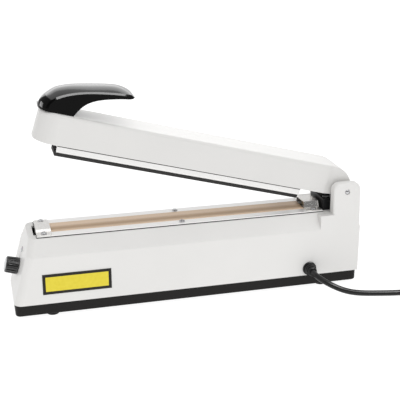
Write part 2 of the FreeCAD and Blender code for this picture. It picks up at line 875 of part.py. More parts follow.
# Hinge: a riveted pin through both ears, the arm on flanged bushes, and two springs in a black box.
def make_hinge():
    seat = f"({SIDE} - sizes.ear_lean)"
    shank = rod("pin_shank", PIN_X, f"-{seat}", PIN_Z, "sizes.pin_radius", f"2 * {seat}", Y_AXIS)
    head_front = taper(
        "pin_head_front",
        PIN_X,
        f"-{seat} - sizes.rivet_height",
        PIN_Z,
        "sizes.rivet_radius * 0.55",
        "sizes.rivet_radius",
        "sizes.rivet_height",
        Y_AXIS,
    )
    head_back = taper(
        "pin_head_back",
        PIN_X,
        seat,
        PIN_Z,
        "sizes.rivet_radius",
        "sizes.rivet_radius * 0.55",
        "sizes.rivet_height",
        Y_AXIS,
    )
    piece(fuse("pin", shank, head_front, head_back), "hinge_pin")

    box_x = f"({PIN_X} - sizes.spring_box_from_pin)"
    block = box(
        "spring_block",
        box_x,
        "-sizes.spring_box_width / 2",
        "sizes.deck_level",
        "sizes.spring_box_length",
        "sizes.spring_box_width",
        "sizes.spring_box_height",
    )
    soft = rounded("spring_block_soft", block, "1.5", lambda edge: runs(edge, Z_AXIS))
    floor = "(sizes.deck_level + sizes.spring_box_floor)"
    centre = f"({box_x} + sizes.spring_box_length / 2)"
    bore = "sizes.spring_radius + sizes.spring_wire / 2 + sizes.spring_bore_play"
    bores = [
        rod(f"spring_bore_{i}", centre, f"{side} * sizes.spring_offset", floor, bore, "40")
        for i, side in enumerate((-1, 1))
    ]
    guide = rod("plunger_guide", centre, "0", "sizes.deck_level - 5", PLUNGER_BORE, "40")
    piece(cut("spring_box_bored", soft, *bores, guide), "spring_box")
    plunger_foot = "(sizes.deck_level + sizes.plunger_rise - sizes.plunger_length)"
    piece(
        rod("plunger", centre, "0", plunger_foot, "sizes.plunger_radius", "sizes.plunger_length"),
        "switch_plunger",
    )
    case_top = f"({plunger_foot} - sizes.plunger_travel - sizes.switch_gap)"
    case_x = f"({centre} - sizes.switch_length / 2)"
    case_z = f"({case_top} - sizes.switch_height)"
    piece(
        box(
            "switch_case",
            case_x,
            "-sizes.switch_width / 2",
            case_z,
            "sizes.switch_length",
            "sizes.switch_width",
            "sizes.switch_height",
        ),
        "micro_switch",
    )
    ceiling = "(sizes.deck_level - sizes.wall)"
    plate_y = "sizes.switch_width / 2"
    hanger = box(
        "bracket_plate",
        case_x,
        plate_y,
        case_z,
        "sizes.switch_length",
        "sizes.bracket_sheet",
        f"{ceiling} - {case_z}",
    )
    flange = box(
        "bracket_flange",
        case_x,
        plate_y,
        f"{ceiling} - sizes.bracket_sheet",
        "sizes.switch_length",
        "sizes.bracket_flange",
        "sizes.bracket_sheet",
    )
    piece(fuse("bracket", hanger, flange), "switch_bracket")
    middle = value(centre)
    offset = value("sizes.spring_offset")
    ends = (value(floor), value("sizes.deck_level + sizes.spring_rise"))
    springs = [helix_spring(f"spring_{i}", middle, side * offset, *ends) for i, side in enumerate((-1, 1))]
    piece(group("spring_pair", *springs), "return_springs")


def biarc(start, start_dir, end, end_dir):
    """Two arcs that leave one point and reach another along given directions."""
    chord = end - start
    both = start_dir + end_dir
    square = both.dot(both) - 4
    if abs(square) < 1e-9:
        reach = chord.dot(chord) / (2 * chord.dot(both))
    else:
        middle = chord.dot(both)
        reach = (middle - math.sqrt(middle * middle - square * chord.dot(chord))) / square
    first = start + start_dir * reach
    second = end - end_dir * reach
    joint = (first + second) * 0.5
    return [tangent_arc(start, first, joint), tangent_arc(joint, second, end)]


def tangent_arc(start, corner, end):
    """The arc that touches both legs of a corner whose legs are alike."""
    back = (start - corner).normalize()
    out = (end - corner).normalize()
    half = back.getAngle(out) / 2
    leg = (start - corner).Length
    bisector = (back + out).normalize()
    radius = leg * math.tan(half)
    centre = corner + bisector * (leg / math.cos(half))
    return Part.Arc(start, centre - bisector * radius, end).toShape()


def tube(name, path, radius, start, direction):
    """A round tube along a wire of lines and arcs."""
    ring = Part.Wire(Part.Circle(start, direction, radius).toShape())
    wire = Part.Wire(path)
    swept = Part.BRepOffsetAPI.MakePipeShell(wire)
    swept.add(ring)
    swept.build()
    swept.makeSolid()
    shape = swept.shape()
    expected = math.pi * radius * radius * wire.Length
    print(f"{name}: length {wire.Length:.1f} mm, volume {shape.Volume:.0f} of {expected:.0f}")
    return solid(name, shape)


def points_along(path):
    points = []
    for edge in path:
        span = edge.LastParameter - edge.FirstParameter
        points += [edge.valueAt(edge.FirstParameter + span * k / 8) for k in range(8)]
    return points


def self_gap(name, points, radius):
    """Prints the least gap between turns, on points along the path."""
    skip = 2 * math.pi * radius
    along = [0.0]
    for first, second in zip(points, points[1:]):
        along.append(along[-1] + (second - first).Length)
    least = min(
        (points[i] - points[j]).Length
        for i in range(len(points))
        for j in range(i)
        if along[i] - along[j] > skip
    )
    print(f"{name}: least gap to itself {least - 2 * radius:.2f} mm")


def helix_spring(name, x, y, low, high):
    """A coiled spring from half-turn biarcs, standing on its floor."""
    radius = value("sizes.spring_radius")
    wire = value("sizes.spring_wire") / 2
    halves = 2 * int(value("sizes.spring_turns"))
    rise = (high - low - 2 * wire) / halves
    pitch = math.atan2(rise, math.pi * radius)
    base = FreeCAD.Vector(x, y, low + wire)
    ends = []
    for index in range(halves + 1):
        side = -1 if index % 2 else 1
        spot = base + FreeCAD.Vector(side * radius, 0, rise * index)
        ends.append((spot, FreeCAD.Vector(0, side * math.cos(pitch), math.sin(pitch))))
    path = []
    for first, second in zip(ends, ends[1:]):
        path += biarc(*first, *second)
    self_gap(name, points_along(path), wire)
    return tube(name, path, wire, *ends[0])


# Arm: a moulded cover open underneath, with the hub between the ears and the bar hung on two posts.
def arm_outline(inset):
    """The arm's side face from nose to hub, one wall smaller where inset is given."""
    top = value("sizes.arm_top") - inset
    skirt = -value("sizes.arm_skirt") - (1 if inset else 0)
    nose = -value("sizes.arm_length") + inset
    reach = value("sizes.hub_reach") - inset
    curve = value("sizes.hub_round") - inset
    lean = 2.0
    arc_x = reach - curve
    arc_z = top - curve

    def at(x, z):
        return FreeCAD.Vector(x, 0, z)

    corner = math.sqrt(0.5) * curve
    edges = [
        Part.LineSegment(at(nose, skirt), at(nose + lean, top)),
        Part.LineSegment(at(nose + lean, top), at(arc_x, top)),
        Part.Arc(at(arc_x, top), at(arc_x + corner, arc_z + corner), at(reach, arc_z)),
        Part.LineSegment(at(reach, arc_z), at(reach, skirt)),
        Part.LineSegment(at(reach, skirt), at(nose, skirt)),
    ]
    return Part.Face(Part.Wire([edge.toShape() for edge in edges]))


def arm_form(name, inset, width, nose_round):
    """The side face given its width, with the nose rounded in plan."""
    face = arm_outline(inset)
    face.translate(FreeCAD.Vector(0, width / 2, 0))
    block = face.extrude(FreeCAD.Vector(0, -width, 0))
    nose = [edge for edge in block.Edges if edge.CenterOfMass.x < -value("sizes.arm_length") + inset + 3]
    upright = [edge for edge in nose if abs(edge.tangentAt(edge.FirstParameter).z) > 0.9]
    return block.makeFillet(nose_round, upright)


def make_arm():
    width = value("sizes.arm_width")
    hub = value("sizes.hub_width")
    wall = value("sizes.arm_wall")
    nose = value("sizes.arm_nose_round")
    shoulder = -value("sizes.arm_shoulder")
    tall = 200
    outer = arm_form("arm_outer", 0, width, nose)
    top = value("sizes.arm_top")
    rims = [
        edge
        for edge in outer.Edges
        if abs(edge.BoundBox.ZMax - top) < 0.01
        and (abs(edge.BoundBox.ZMin - top) < 0.01 or abs(abs(edge.CenterOfMass.y) - width / 2) < 0.01)
        and not (runs(edge, Y_AXIS) and edge.CenterOfMass.x > -width)
        and not edge.BoundBox.ZMin < -value("sizes.arm_skirt") + 0.01
    ]
    outer = outer.makeFillet(value("sizes.arm_edge_round"), rims)
    side_cut = Part.makeBox(tall, tall, tall, FreeCAD.Vector(shoulder, hub / 2, -tall / 2))
    other_cut = Part.makeBox(tall, tall, tall, FreeCAD.Vector(shoulder, -hub / 2 - tall, -tall / 2))
    outer = outer.cut(side_cut).cut(other_cut)
    inner = arm_form("arm_inner", wall, width - 2 * wall, nose - wall)
    hub_in = hub / 2 - wall
    inner_side = Part.makeBox(tall, tall, tall, FreeCAD.Vector(shoulder - wall, hub_in, -tall / 2))
    inner_other = Part.makeBox(tall, tall, tall, FreeCAD.Vector(shoulder - wall, -hub_in - tall, -tall / 2))
    inner = inner.cut(inner_side).cut(inner_other)
    bore_radius = value("sizes.bush_radius + sizes.running_fit")
    bore = Part.makeCylinder(bore_radius, hub + 2, FreeCAD.Vector(0, -hub / 2 - 1, 0), Y_AXIS)
    shell = outer.cut(inner).cut(bore)
    piece(on_arm(solid("arm_shell", shell)), "arm_housing")

    bushes = []
    for side in (-1, 1):
        outward = FreeCAD.Vector(0, side, 0)
        inside = "sizes.hub_width / 2 - sizes.arm_wall - 2"
        name = "front" if side < 0 else "back"
        sleeve = rod(
            f"bush_{name}_sleeve",
            "0",
            f"{side} * ({inside})",
            "0",
            "sizes.bush_radius",
            "sizes.arm_wall + 2",
            outward,
        )
        flange = rod(
            f"bush_{name}_flange",
            "0",
            f"{side} * sizes.hub_width / 2",
            "0",
            "sizes.bush_flange_radius",
            f"{SIDE} - sizes.ear_thickness - sizes.hub_width / 2 - sizes.ear_play",
            outward,
        )
        bore_radius = "sizes.pin_radius + sizes.running_fit"
        bore = rod(f"bush_{name}_bore", "0", f"{side} * 10", "0", bore_radius, "40", outward)
        bushes.append(cut(f"bush_{name}", fuse(f"bush_{name}_body", sleeve, flange), bore))
    piece(on_arm(group("bushes", *bushes)), "pivot_bushes")

    seat_length = value("sizes.seat_length")
    seat_width = value("sizes.seat_width")
    seat_x = value("-sizes.spring_box_from_pin + sizes.spring_box_length / 2") - seat_length / 2
    seat_z = -value("sizes.seat_skirt")
    block = Part.makeBox(seat_length, seat_width, tall, FreeCAD.Vector(seat_x, -seat_width / 2, seat_z))
    roof = inner.translated(FreeCAD.Vector(0, 0, -value("sizes.seat_play")))
    piece(on_arm(solid("seat", block.common(roof))), "spring_seat")
    make_bar()


def make_bar():
    half = "sizes.bar_width / 2"
    lip = f"({half} - sizes.bar_lip)"
    low = "-sizes.bar_bottom"
    groove = f"({low} + sizes.bar_groove)"
    roof = "-sizes.bar_top"
    web = "2"
    section = [
        (f"-{half}", low),
        (f"-{lip}", low),
        (f"-{lip}", groove),
        (lip, groove),
        (lip, low),
        (half, low),
        (half, roof),
        (f"{half} - {web}", roof),
        (f"{half} - {web}", f"{groove} + {web}"),
        (f"-{half} + {web}", f"{groove} + {web}"),
        (f"-{half} + {web}", roof),
        (f"-{half}", roof),
    ]
    bar_length = "sizes.bar_start - sizes.bar_end"
    bar = pad("bar_section", "YZ", section, "-sizes.bar_start", bar_length)
    piece(on_arm(group("bar", bar)), "pressing_bar")
    tongue = f"({lip} - sizes.rubber_play)"
    flush = f"({half} - sizes.rubber_play)"
    rubber = [
        (f"-{tongue}", groove),
        (f"-{tongue}", low),
        (f"-{flush}", low),
        (f"-{flush}", "-sizes.seal_plane + 1"),
        (f"-{flush} + 1", "-sizes.seal_plane"),
        (f"{flush} - 1", "-sizes.seal_plane"),
        (flush, "-sizes.seal_plane + 1"),
        (flush, low),
        (tongue, low),
        (tongue, groove),
    ]
    strip = pad("rubber_section", "YZ", rubber, "-sizes.bar_start - 1.5", bar_length)
    piece(on_arm(group("rubber", strip)), "silicone_strip")
    posts = []
    foot = f"({groove} + {web})"
    for name, x in (("left", "-sizes.post_left"), ("right", "-sizes.post_right")):
        height = f"sizes.arm_top - sizes.arm_wall - {foot}"
        posts.append(rod(f"post_{name}", x, "0", foot, "sizes.post_radius", height))
    piece(on_arm(group("posts", *posts)), "bar_posts")


# Handle: a gloss moulded hook seated on the arm's nose, its domed grip reaching back over a finger gap.
# Each row is a point on the middle line and the same point on the side rim: along from the nose, up
# from the seat. They run from the nose's foot over the crest, round the tip and back under the grip.
HANDLE_LINES = [
    (0, 0, 9, 0),
    (0.4, 9.8, 9.2, 7),
    (7.7, 19.3, 14.5, 14.8),
    (13.2, 24.2, 19.5, 18.2),
    (21.6, 28.6, 26.5, 21.8),
    (30.3, 31.7, 34, 24.8),
    (43.7, 35, 46.7, 28.5),
    (57.4, 37.8, 60.1, 31.2),
    (71.1, 40.3, 73.8, 33.3),
    (83.4, 41.5, 85, 34.6),
    (93.3, 40.4, 92.5, 35.3),
    (100.6, 37.4, 98, 35.2),
    (103.8, 33.6, 99.9, 33.2),
    (100.8, 30.9, 97, 31.2),
    (93.5, 30.2, 92, 30),
    (79.8, 27.7, 79.8, 27.5),
    (62.1, 22.4, 62.1, 22.4),
    (49.6, 15.2, 49.6, 15.2),
    (42.3, 6.2, 42.3, 6.2),
    (38.9, 0, 38.9, 0),
]
HANDLE_STATIONS = [-0.8, -0.45, 0, 0.45, 0.8]


def handle_section(nose, seat, half, station, inset=0):
    """The handle's outline in one upright plane, a share of the half width off the middle."""
    rise = station ** 2
    draw = abs(station) ** 3
    spots = [
        FreeCAD.Vector(nose + along + (far - along) * draw, half * station, seat + up + (low - up) * rise)
        for along, up, far, low in HANDLE_LINES
    ]
    moved = [spots[0] + X_AXIS * inset]
    for before, spot, after in zip(spots, spots[1:], spots[2:]):
        heading = (after - before).normalize()
        moved.append(spot + FreeCAD.Vector(heading.z, 0, -heading.x) * inset)
    moved.append(spots[-1] - X_AXIS * inset)
    line = Part.BSplineCurve()
    line.interpolate(moved)
    return Part.Wire([line.toShape(), Part.LineSegment(moved[-1], moved[0]).toShape()])


def make_handle():
    seat = value("sizes.arm_top")
    nose = -value("sizes.arm_length + sizes.handle_overhang")
    half = value("sizes.handle_width") / 2
    bevel = value("sizes.handle_bevel")
    shoulder = 1 - bevel / half
    stations = [-shoulder, *HANDLE_STATIONS, shoulder]
    sections = [handle_section(nose, seat, half, station) for station in stations]
    block = Part.makeLoft(sections, True)
    for side, section in ((-1, sections[0]), (1, sections[-1])):
        face = handle_section(nose, seat, half, side, bevel)
        block = block.fuse(Part.makeLoft([section, face], True, True))
    holes = []
    screws = []
    for i, side in enumerate((-0.5, 0.5)):
        x = nose + value("sizes.handle_screw_x")
        y = side * value("sizes.handle_screw_pitch")
        low = value("sizes.arm_top - sizes.arm_wall")
        holes.append(Part.makeCylinder(value(SCREW_HOLE), 12, FreeCAD.Vector(x, y, low - 1)))
        stem = Part.makeCylinder(value("sizes.screw_radius"), 10, FreeCAD.Vector(x, y, low))
        head = Part.makeCylinder(
            value("sizes.screw_head_radius"),
            value("sizes.screw_head_height"),
            FreeCAD.Vector(x, y, low - value("sizes.screw_head_height")),
        )
        screws.append(solid(f"handle_screw_{i}", stem.fuse(head).removeSplitter()))
    for hole in holes:
        block = block.cut(hole)
    piece(on_arm(solid("grip", block)), "handle")
    piece(on_arm(group("handle_screw_pair", *screws)), "handle_screws")
    shell = next(obj for obj in pieces if obj.Label == "arm_housing")
    drilled = shell.Shape.copy()
    drilled.Placement = FreeCAD.Placement()
    for hole in holes:
        drilled = drilled.cut(hole)
    kept = shell.Placement
    shell.Shape = drilled
    shell.Placement = kept


# Inside the base: transformer, timer board and the switch that the closing arm trips.
def make_works():
    floor = TRAY_FLOOR
    core_x = f"({LEFT} + sizes.transformer_x)"
    core_y = "-sizes.core_width / 2"
    core_size = ("sizes.core_length", "sizes.core_width", "sizes.core_height")
    block = box("core_block", core_x, core_y, floor, *core_size)
    windows = []
    gap = "(sizes.core_length - 2 * sizes.core_window - 2 * sizes.core_limb)"
    for name, x in (
        ("left", f"{core_x} + sizes.core_limb"),
        ("right", f"{core_x} + sizes.core_limb + sizes.core_window + {gap}"),
    ):
        windows.append(
            box(
                f"window_{name}",
                x,
                f"{core_y} - 1",
                f"{floor} + sizes.core_limb",
                "sizes.core_window",
                "sizes.core_width + 2",
                "sizes.core_height - 2 * sizes.core_limb",
            )
        )
    piece(cut("core", block, *windows), "transformer_core")
    wide = f"({gap} + 2 * sizes.core_window - 2 * sizes.coil_play)"
    tall = "(sizes.core_height - 2 * sizes.core_limb - 2 * sizes.coil_play)"
    overhang = "6"
    winding = box(
        "winding_block",
        f"{core_x} + sizes.core_limb + sizes.coil_play",
        f"{core_y} - {overhang}",
        f"{floor} + sizes.core_limb + sizes.coil_play",
        wide,
        f"sizes.core_width + 2 * {overhang}",
        tall,
    )
    limb = box(
        "winding_hole",
        f"{core_x} + sizes.core_limb + sizes.core_window - sizes.coil_play",
        f"{core_y} - sizes.coil_play",
        floor,
        f"{gap} + 2 * sizes.coil_play",
        "sizes.core_width + 2 * sizes.coil_play",
        "sizes.core_height",
    )
    soft = rounded("winding_soft", winding, "3", lambda edge: runs(edge, Z_AXIS))
    piece(cut("winding", soft, limb), "transformer_winding")

    board_x = f"({LEFT} + sizes.board_x)"
    board_y = "-sizes.board_width / 2"
    board_z = f"({floor} + sizes.standoff_height)"
    board_size = ("sizes.board_length", "sizes.board_width", "sizes.board_sheet")
    piece(box("board", board_x, board_y, board_z, *board_size), "timer_board")
    posts = []
    for i in range(4):
        x = f"{board_x} + sizes.standoff_inset + {i % 2} * (sizes.board_length - 2 * sizes.standoff_inset)"
        y = f"{board_y} + sizes.standoff_inset + {i // 2} * (sizes.board_width - 2 * sizes.standoff_inset)"
        posts.append(rod(f"standoff_{i}", x, y, floor, "sizes.standoff_radius", "sizes.standoff_height"))
    piece(group("standoffs", *posts), "board_standoffs")
    top = f"({board_z} + sizes.board_sheet)"
    piece(
        box(
            "relay",
            f"{board_x} + sizes.relay_x",
            f"{board_y} + sizes.relay_y",
            top,
            "sizes.relay_length",
            "sizes.relay_width",
            "sizes.relay_height",
        ),
        "board_relay",
    )
    sink_x = f"({board_x} + sizes.heatsink_x)"
    sink_y = f"({board_y} + sizes.heatsink_y)"
    sink_sheet = "sizes.heatsink_sheet"
    last_fin = int(value("sizes.heatsink_fins")) - 1
    sink_length = f"{last_fin} * sizes.fin_pitch + {sink_sheet}"
    plate = box("heatsink_plate", sink_x, sink_y, top, sink_length, sink_sheet, "sizes.heatsink_height")
    fins = [
        box(
            f"heatsink_fin_{i}",
            f"{sink_x} + {i} * sizes.fin_pitch",
            sink_y,
            top,
            sink_sheet,
            "sizes.fin_depth",
            "sizes.heatsink_height",
        )
        for i in range(last_fin + 1)
    ]
    piece(fuse("heatsink", plate, *fins), "triac_heatsink")


# Mains lead: a moulded gland in the front wall, the lead along the floor, its coil, tie and plug.
# Each row is a distance along from the gland, out from the front wall, and up from lying flat.
CORD_ROUTE = [
    (4.6, 33.1, 20.7),
    (13, 41.1, 16.9),
    (24, 45.1, 11.7),
    (37, 46.4, 6.1),
    (53, 46.7, 1.7),
    (72, 46.5, 0.2),
    (93, 47.3, 0.1),
    (115, 47.7, 0.1),
    (137, 47.3, 0.6),
    (155, 46.6, 1.3),
    (170, 46.5, 1.4),
]


def cord_points():
    """The route's points from the boot's tip to the coil's first turn."""
    exit_x = value(f"{RIGHT} - sizes.gland_from_end")
    wall = -value(SIDE)
    level = value("sizes.gland_level")
    flat = value("sizes.cord_radius")
    tip = wall - value("sizes.gland_flange + sizes.gland_boot")
    straight = value("sizes.cord_straight")
    points = [FreeCAD.Vector(exit_x, tip, level), FreeCAD.Vector(exit_x, tip - straight, level)]
    points += [FreeCAD.Vector(exit_x + along, wall - out, flat + up) for along, out, up in CORD_ROUTE]
    points.append(coil_centre() + FreeCAD.Vector(0, -value("sizes.coil_radius"), 0))
    return points


def rounded_route(points):
    """Straight runs joined by the largest arcs that 0.45 of the shorter run allows."""
    edges = []
    radii = []
    here = points[0]
    for before, corner, after in zip(points, points[1:], points[2:]):
        back = before - corner
        out = after - corner
        short = min(back.Length, out.Length)
        leg = 0.45 * short
        start = corner + back.normalize() * leg
        end = corner + out.normalize() * leg
        turn = math.pi - back.getAngle(out)
        radii.append(leg / math.tan(turn / 2))
        edges.append(Part.LineSegment(here, start).toShape())
        edges.append(tangent_arc(start, corner, end))
        here = end
    edges.append(Part.LineSegment(here, points[-1]).toShape())
    print("cord radii:", ", ".join(f"{radius:.0f}" for radius in radii))
    return edges


def make_lead():
    gland_x = f"({RIGHT} - sizes.gland_from_end)"
    front = f"-{SIDE}"
    flange = rod(
        "gland_flange",
        gland_x,
        f"{front} - sizes.gland_flange",
        "sizes.gland_level",
        "sizes.gland_flange_radius",
        "sizes.gland_flange",
        Y_AXIS,
    )
    boot = taper(
        "gland_boot",
        gland_x,
        f"{front} - sizes.gland_flange - sizes.gland_boot",
        "sizes.gland_level",
        "sizes.cord_radius + 1.5",
        "sizes.gland_root_radius",
        "sizes.gland_boot",
        Y_AXIS,
    )
    root = "sizes.gland_root_radius"
    stem = rod("gland_stem", gland_x, front, "sizes.gland_level", root, "sizes.wall", Y_AXIS)
    nut = rod(
        "gland_nut",
        gland_x,
        f"{front} + sizes.wall",
        "sizes.gland_level",
        "sizes.gland_nut_radius",
        "sizes.gland_nut",
        Y_AXIS,
    )
    piece(fuse("gland", flange, boot, stem, nut), "cable_gland")

    radius = value("sizes.cord_radius")
    points = cord_points()
    edges = rounded_route(points)
    piece(tube("lead", edges, radius, points[0], (points[1] - points[0]).normalize()), "power_cord")
    make_coil(radius)


def coil_centre():
    """The middle of the coil's lower layer, held just off the floor by the tie's band."""
    x = value(f"{RIGHT} - sizes.gland_from_end + sizes.coil_from_gland")
    y = value(f"-{SIDE} - sizes.coil_from_front")
    z = value("sizes.cord_radius + sizes.tie_sheet + sizes.tie_play + sizes.coil_lift")
    return FreeCAD.Vector(x, y, z)


def coil_path():
    """Half turns that spiral in on the floor, climb one layer, and spiral out again to the plug."""
    centre = coil_centre()
    pitch = value("2 * sizes.cord_radius + sizes.coil_gap")
    step = pitch / 2
    outer = value("sizes.coil_radius")
    last_low = 4
    spots = [(outer - step * k, 0) for k in range(last_low + 1)]
    turn = spots[-1][0] - value("sizes.coil_climb_in")
    spots.append((turn, pitch))
    out = turn + value("sizes.coil_climb_out")
    spots += [(out + step * k, pitch) for k in range(last_low + 1)]
    places = []
    for index, (offset, level) in enumerate(spots):
        side = -1 if index % 2 == 0 else 1
        places.append((centre + FreeCAD.Vector(0, side * offset, level), FreeCAD.Vector(-side, 0, 0)))
    path = []
    for (start, start_dir), (end, end_dir) in zip(places, places[1:]):
        path += biarc(start, start_dir, end, end_dir)
    return path, places


def make_coil(radius):
    path, places = coil_path()
    start, direction = places[0]
    points = points_along(path)
    self_gap("cord coil", points, radius)
    end, end_dir = places[-1]
    tail = end + end_dir * value("sizes.coil_tail")
    path.append(Part.LineSegment(end, tail).toShape())
    piece(tube("coil", path, radius, start, direction), "cord_coil")

    plug_length = value("sizes.plug_length")
    plug_radius = value("sizes.plug_radius")
    neck = value("sizes.plug_neck_radius")
    neck_length = plug_length * 0.4
    sleeve = Part.makeCone(neck, neck * 1.25, neck_length, tail, X_AXIS)
    root = tail + X_AXIS * neck_length
    body = Part.makeCone(plug_radius * 0.8, plug_radius, plug_length - neck_length, root, X_AXIS)
    piece(solid("plug", sleeve.fuse(body).removeSplitter()), "plug_body")
    face = tail + X_AXIS * plug_length
    pins = []
    for i, side in enumerate((-0.5, 0.5)):
        root = face + Y_AXIS * side * value("sizes.plug_pin_pitch")
        reach = value("sizes.plug_pin_length")
        pin = Part.makeCylinder(value("sizes.plug_pin_radius"), reach, root, X_AXIS)
        pins.append(solid(f"plug_pin_{i}", pin))
    piece(group("plug_pin_pair", *pins), "plug_pins")

    sheet_t = value("sizes.tie_sheet")
    play = radius + value("sizes.tie_play")
    wide = value("sizes.tie_width")
    centre = coil_centre()
    held = [point - centre for point in points if point.x > centre.x and abs(point.y - centre.y) < wide]
    near = min(point.x for point in held) - play
    far = max(point.x for point in held) + play
    low = min(point.z for point in held) - play
    high = max(point.z for point in held) + play
    corner = centre + FreeCAD.Vector(near, -wide / 2, low)
    rim = FreeCAD.Vector(sheet_t, 0, sheet_t)
    band = Part.makeBox(far - near + 2 * sheet_t, wide, high - low + 2 * sheet_t, corner - rim)
    hole = Part.makeBox(far - near, wide + 2, high - low, corner - Y_AXIS)
    piece(solid("tie", band.cut(hole)), "cord_tie")


def check_and_write():
    doc.recompute()
    failed = [obj.Name for obj in doc.Objects if {"Invalid", "Error"} & set(obj.State)]
    for obj in pieces:
        if obj.Shape.isNull() or not obj.Shape.isValid() or not obj.Shape.Solids:
            failed.append(obj.Label)
    if failed:
        raise RuntimeError("these did not build: " + ", ".join(failed))
    os.makedirs("parts", exist_ok=True)
    for obj in pieces:
        obj.Shape.exportStep(f"parts/{obj.Label}.step")
    print(len(pieces), "sub-parts,", sum(len(obj.Shape.Solids) for obj in pieces), "solids")


make_housing()
make_tray()
make_rail()
make_knob()
make_hinge()
make_arm()
make_handle()
make_works()
make_lead()
check_and_write()
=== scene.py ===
import math
import bpy
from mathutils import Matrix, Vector


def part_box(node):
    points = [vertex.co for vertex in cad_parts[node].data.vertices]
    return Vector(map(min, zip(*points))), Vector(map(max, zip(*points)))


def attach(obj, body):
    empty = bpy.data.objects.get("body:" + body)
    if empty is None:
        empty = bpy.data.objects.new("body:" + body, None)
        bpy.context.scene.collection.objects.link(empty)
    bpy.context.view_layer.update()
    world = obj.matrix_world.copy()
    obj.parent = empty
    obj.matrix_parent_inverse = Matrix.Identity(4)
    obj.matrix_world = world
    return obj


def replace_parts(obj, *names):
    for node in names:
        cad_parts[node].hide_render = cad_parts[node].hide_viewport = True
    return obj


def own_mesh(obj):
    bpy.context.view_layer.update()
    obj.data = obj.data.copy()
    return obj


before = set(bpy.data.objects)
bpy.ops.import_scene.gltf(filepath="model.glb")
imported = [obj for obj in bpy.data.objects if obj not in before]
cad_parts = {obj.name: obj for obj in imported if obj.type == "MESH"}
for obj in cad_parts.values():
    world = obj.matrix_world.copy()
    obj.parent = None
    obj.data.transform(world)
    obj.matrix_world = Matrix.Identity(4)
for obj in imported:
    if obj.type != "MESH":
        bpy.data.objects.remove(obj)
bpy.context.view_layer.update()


# Bottom tray: a pressed steel pan that closes the base from below, screwed on through its feet.
# It is sprayed matt black, which shows as a dull dark grey with a slightly raised grain.
# The grain is drawn coarser than a real spray's, so that it shows.
def linear(code):
    """An sRGB hex colour as linear red, green, blue and alpha."""
    parts = [int(code[i:i + 2], 16) / 255 for i in (1, 3, 5)]
    return [c / 12.92 if c <= 0.04045 else ((c + 0.055) / 1.055) ** 2.4 for c in parts] + [1.0]


def node(tree, kind, links=None, values=None, **settings):
    """Adds one node, sets it, gives its sockets their values and links them from other sockets."""
    made = tree.nodes.new(kind)
    for name, setting in settings.items():
        setattr(made, name, setting)
    for name, number in (values or {}).items():
        made.inputs[name].default_value = number
    for name, source in (links or {}).items():
        tree.links.new(source, made.inputs[name])
    return made


def blank_finish(name):
    """A material with nothing in it yet but object coordinates, its tree, and that socket."""
    material = bpy.data.materials.new(name)
    material.use_nodes = True
    material.node_tree.nodes.clear()
    place = node(material.node_tree, "ShaderNodeTexCoord").outputs["Object"]
    return material, material.node_tree, place


def coat(tree, pattern, colours, roughness=None, rise=0, shader=None):
    """Ends a finish: a pattern mixes two colours, and may vary the roughness and raise the surface."""
    low, high = colours
    colour = node(tree, "ShaderNodeMix", {0: pattern}, {6: linear(low), 7: linear(high)}, data_type="RGBA")
    links = {"Base Color": colour.outputs[2]}
    if roughness:
        smooth, dull = roughness
        varied = node(tree, "ShaderNodeMapRange", {"Value": pattern}, {"To Min": smooth, "To Max": dull})
        links["Roughness"] = varied.outputs["Result"]
    if rise:
        raised = node(tree, "ShaderNodeBump", {"Height": pattern}, {"Distance": rise})
        links["Normal"] = raised.outputs["Normal"]
    skin = node(tree, "ShaderNodeBsdfPrincipled", links, shader)
    node(tree, "ShaderNodeOutputMaterial", {"Surface": skin.outputs["BSDF"]})


def grained_finish(name, grain_mm, detail, **look):
    """A finish whose pattern is an even grain of a real size."""
    finish, tree, place = blank_finish(name)
    fineness = {"Scale": 1000 / grain_mm, "Detail": detail}
    grain = node(tree, "ShaderNodeTexNoise", {"Vector": place}, fineness)
    coat(tree, grain.outputs["Fac"], **look)
    return finish


def dress(material, *names):
    """Gives CAD nodes their finish."""
    for name in names:
        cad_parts[name].material_slots[0].material = material


SPRAY_GRAIN_MM = 1.2
black_paint = grained_finish(
    "sprayed_black_steel",
    SPRAY_GRAIN_MM,
    detail=3.0,
    colours=("#100f0e", "#232120"),
    roughness=(0.42, 0.62),
    rise=0.00005,
    shader={"Specular IOR Level": 0.2},
)
dress(black_paint, "bottom_tray")

# Feet: four moulded rubber pads under the tray, each held by a screw and a nut inside.
# The rubber is matt and a little dusty; the screws and nuts are zinc plated, with a cloudy shine.
RUBBER_GRAIN_MM = 0.9
rubber = grained_finish(
    "moulded_rubber",
    RUBBER_GRAIN_MM,
    detail=4.0,
    colours=("#0e0e0e", "#232222"),
    roughness=(0.62, 0.9),
    rise=0.00006,
    shader={"Specular IOR Level": 0.22},
)
dress(rubber, "rubber_feet")

ZINC_CLOUD_MM = 9.0
zinc = grained_finish(
    "zinc_plated_steel",
    ZINC_CLOUD_MM,
    detail=3.0,
    colours=("#e9e9ea", "#f8f8f8"),
    roughness=(0.14, 0.3),
    shader={"Metallic": 0.7},
)
dress(zinc, "foot_screws", "foot_nuts")

# Transformer: a stack of 0.5 mm iron laminations with a copper winding on its middle limb.
# The stack shows as fine dark lines under varnish; the winding as rows of round enamelled wire.
WAVE_PHASE = 20
LAMINATION_MM = 0.5
laminations, tree, place = blank_finish("varnished_iron_laminations")
sheets = node(
    tree,
    "ShaderNodeTexWave",
    {"Vector": place},
    {"Scale": 1000 / LAMINATION_MM / WAVE_PHASE, "Distortion": 0.4, "Detail": 2.0},
    bands_direction="Y",
)
coat(
    tree,
    sheets.outputs["Fac"],
    colours=("#2c2e31", "#6b6e72"),
    rise=0.0001,
    shader={"Metallic": 0.6, "Roughness": 0.4},
)
dress(laminations, "transformer_core")

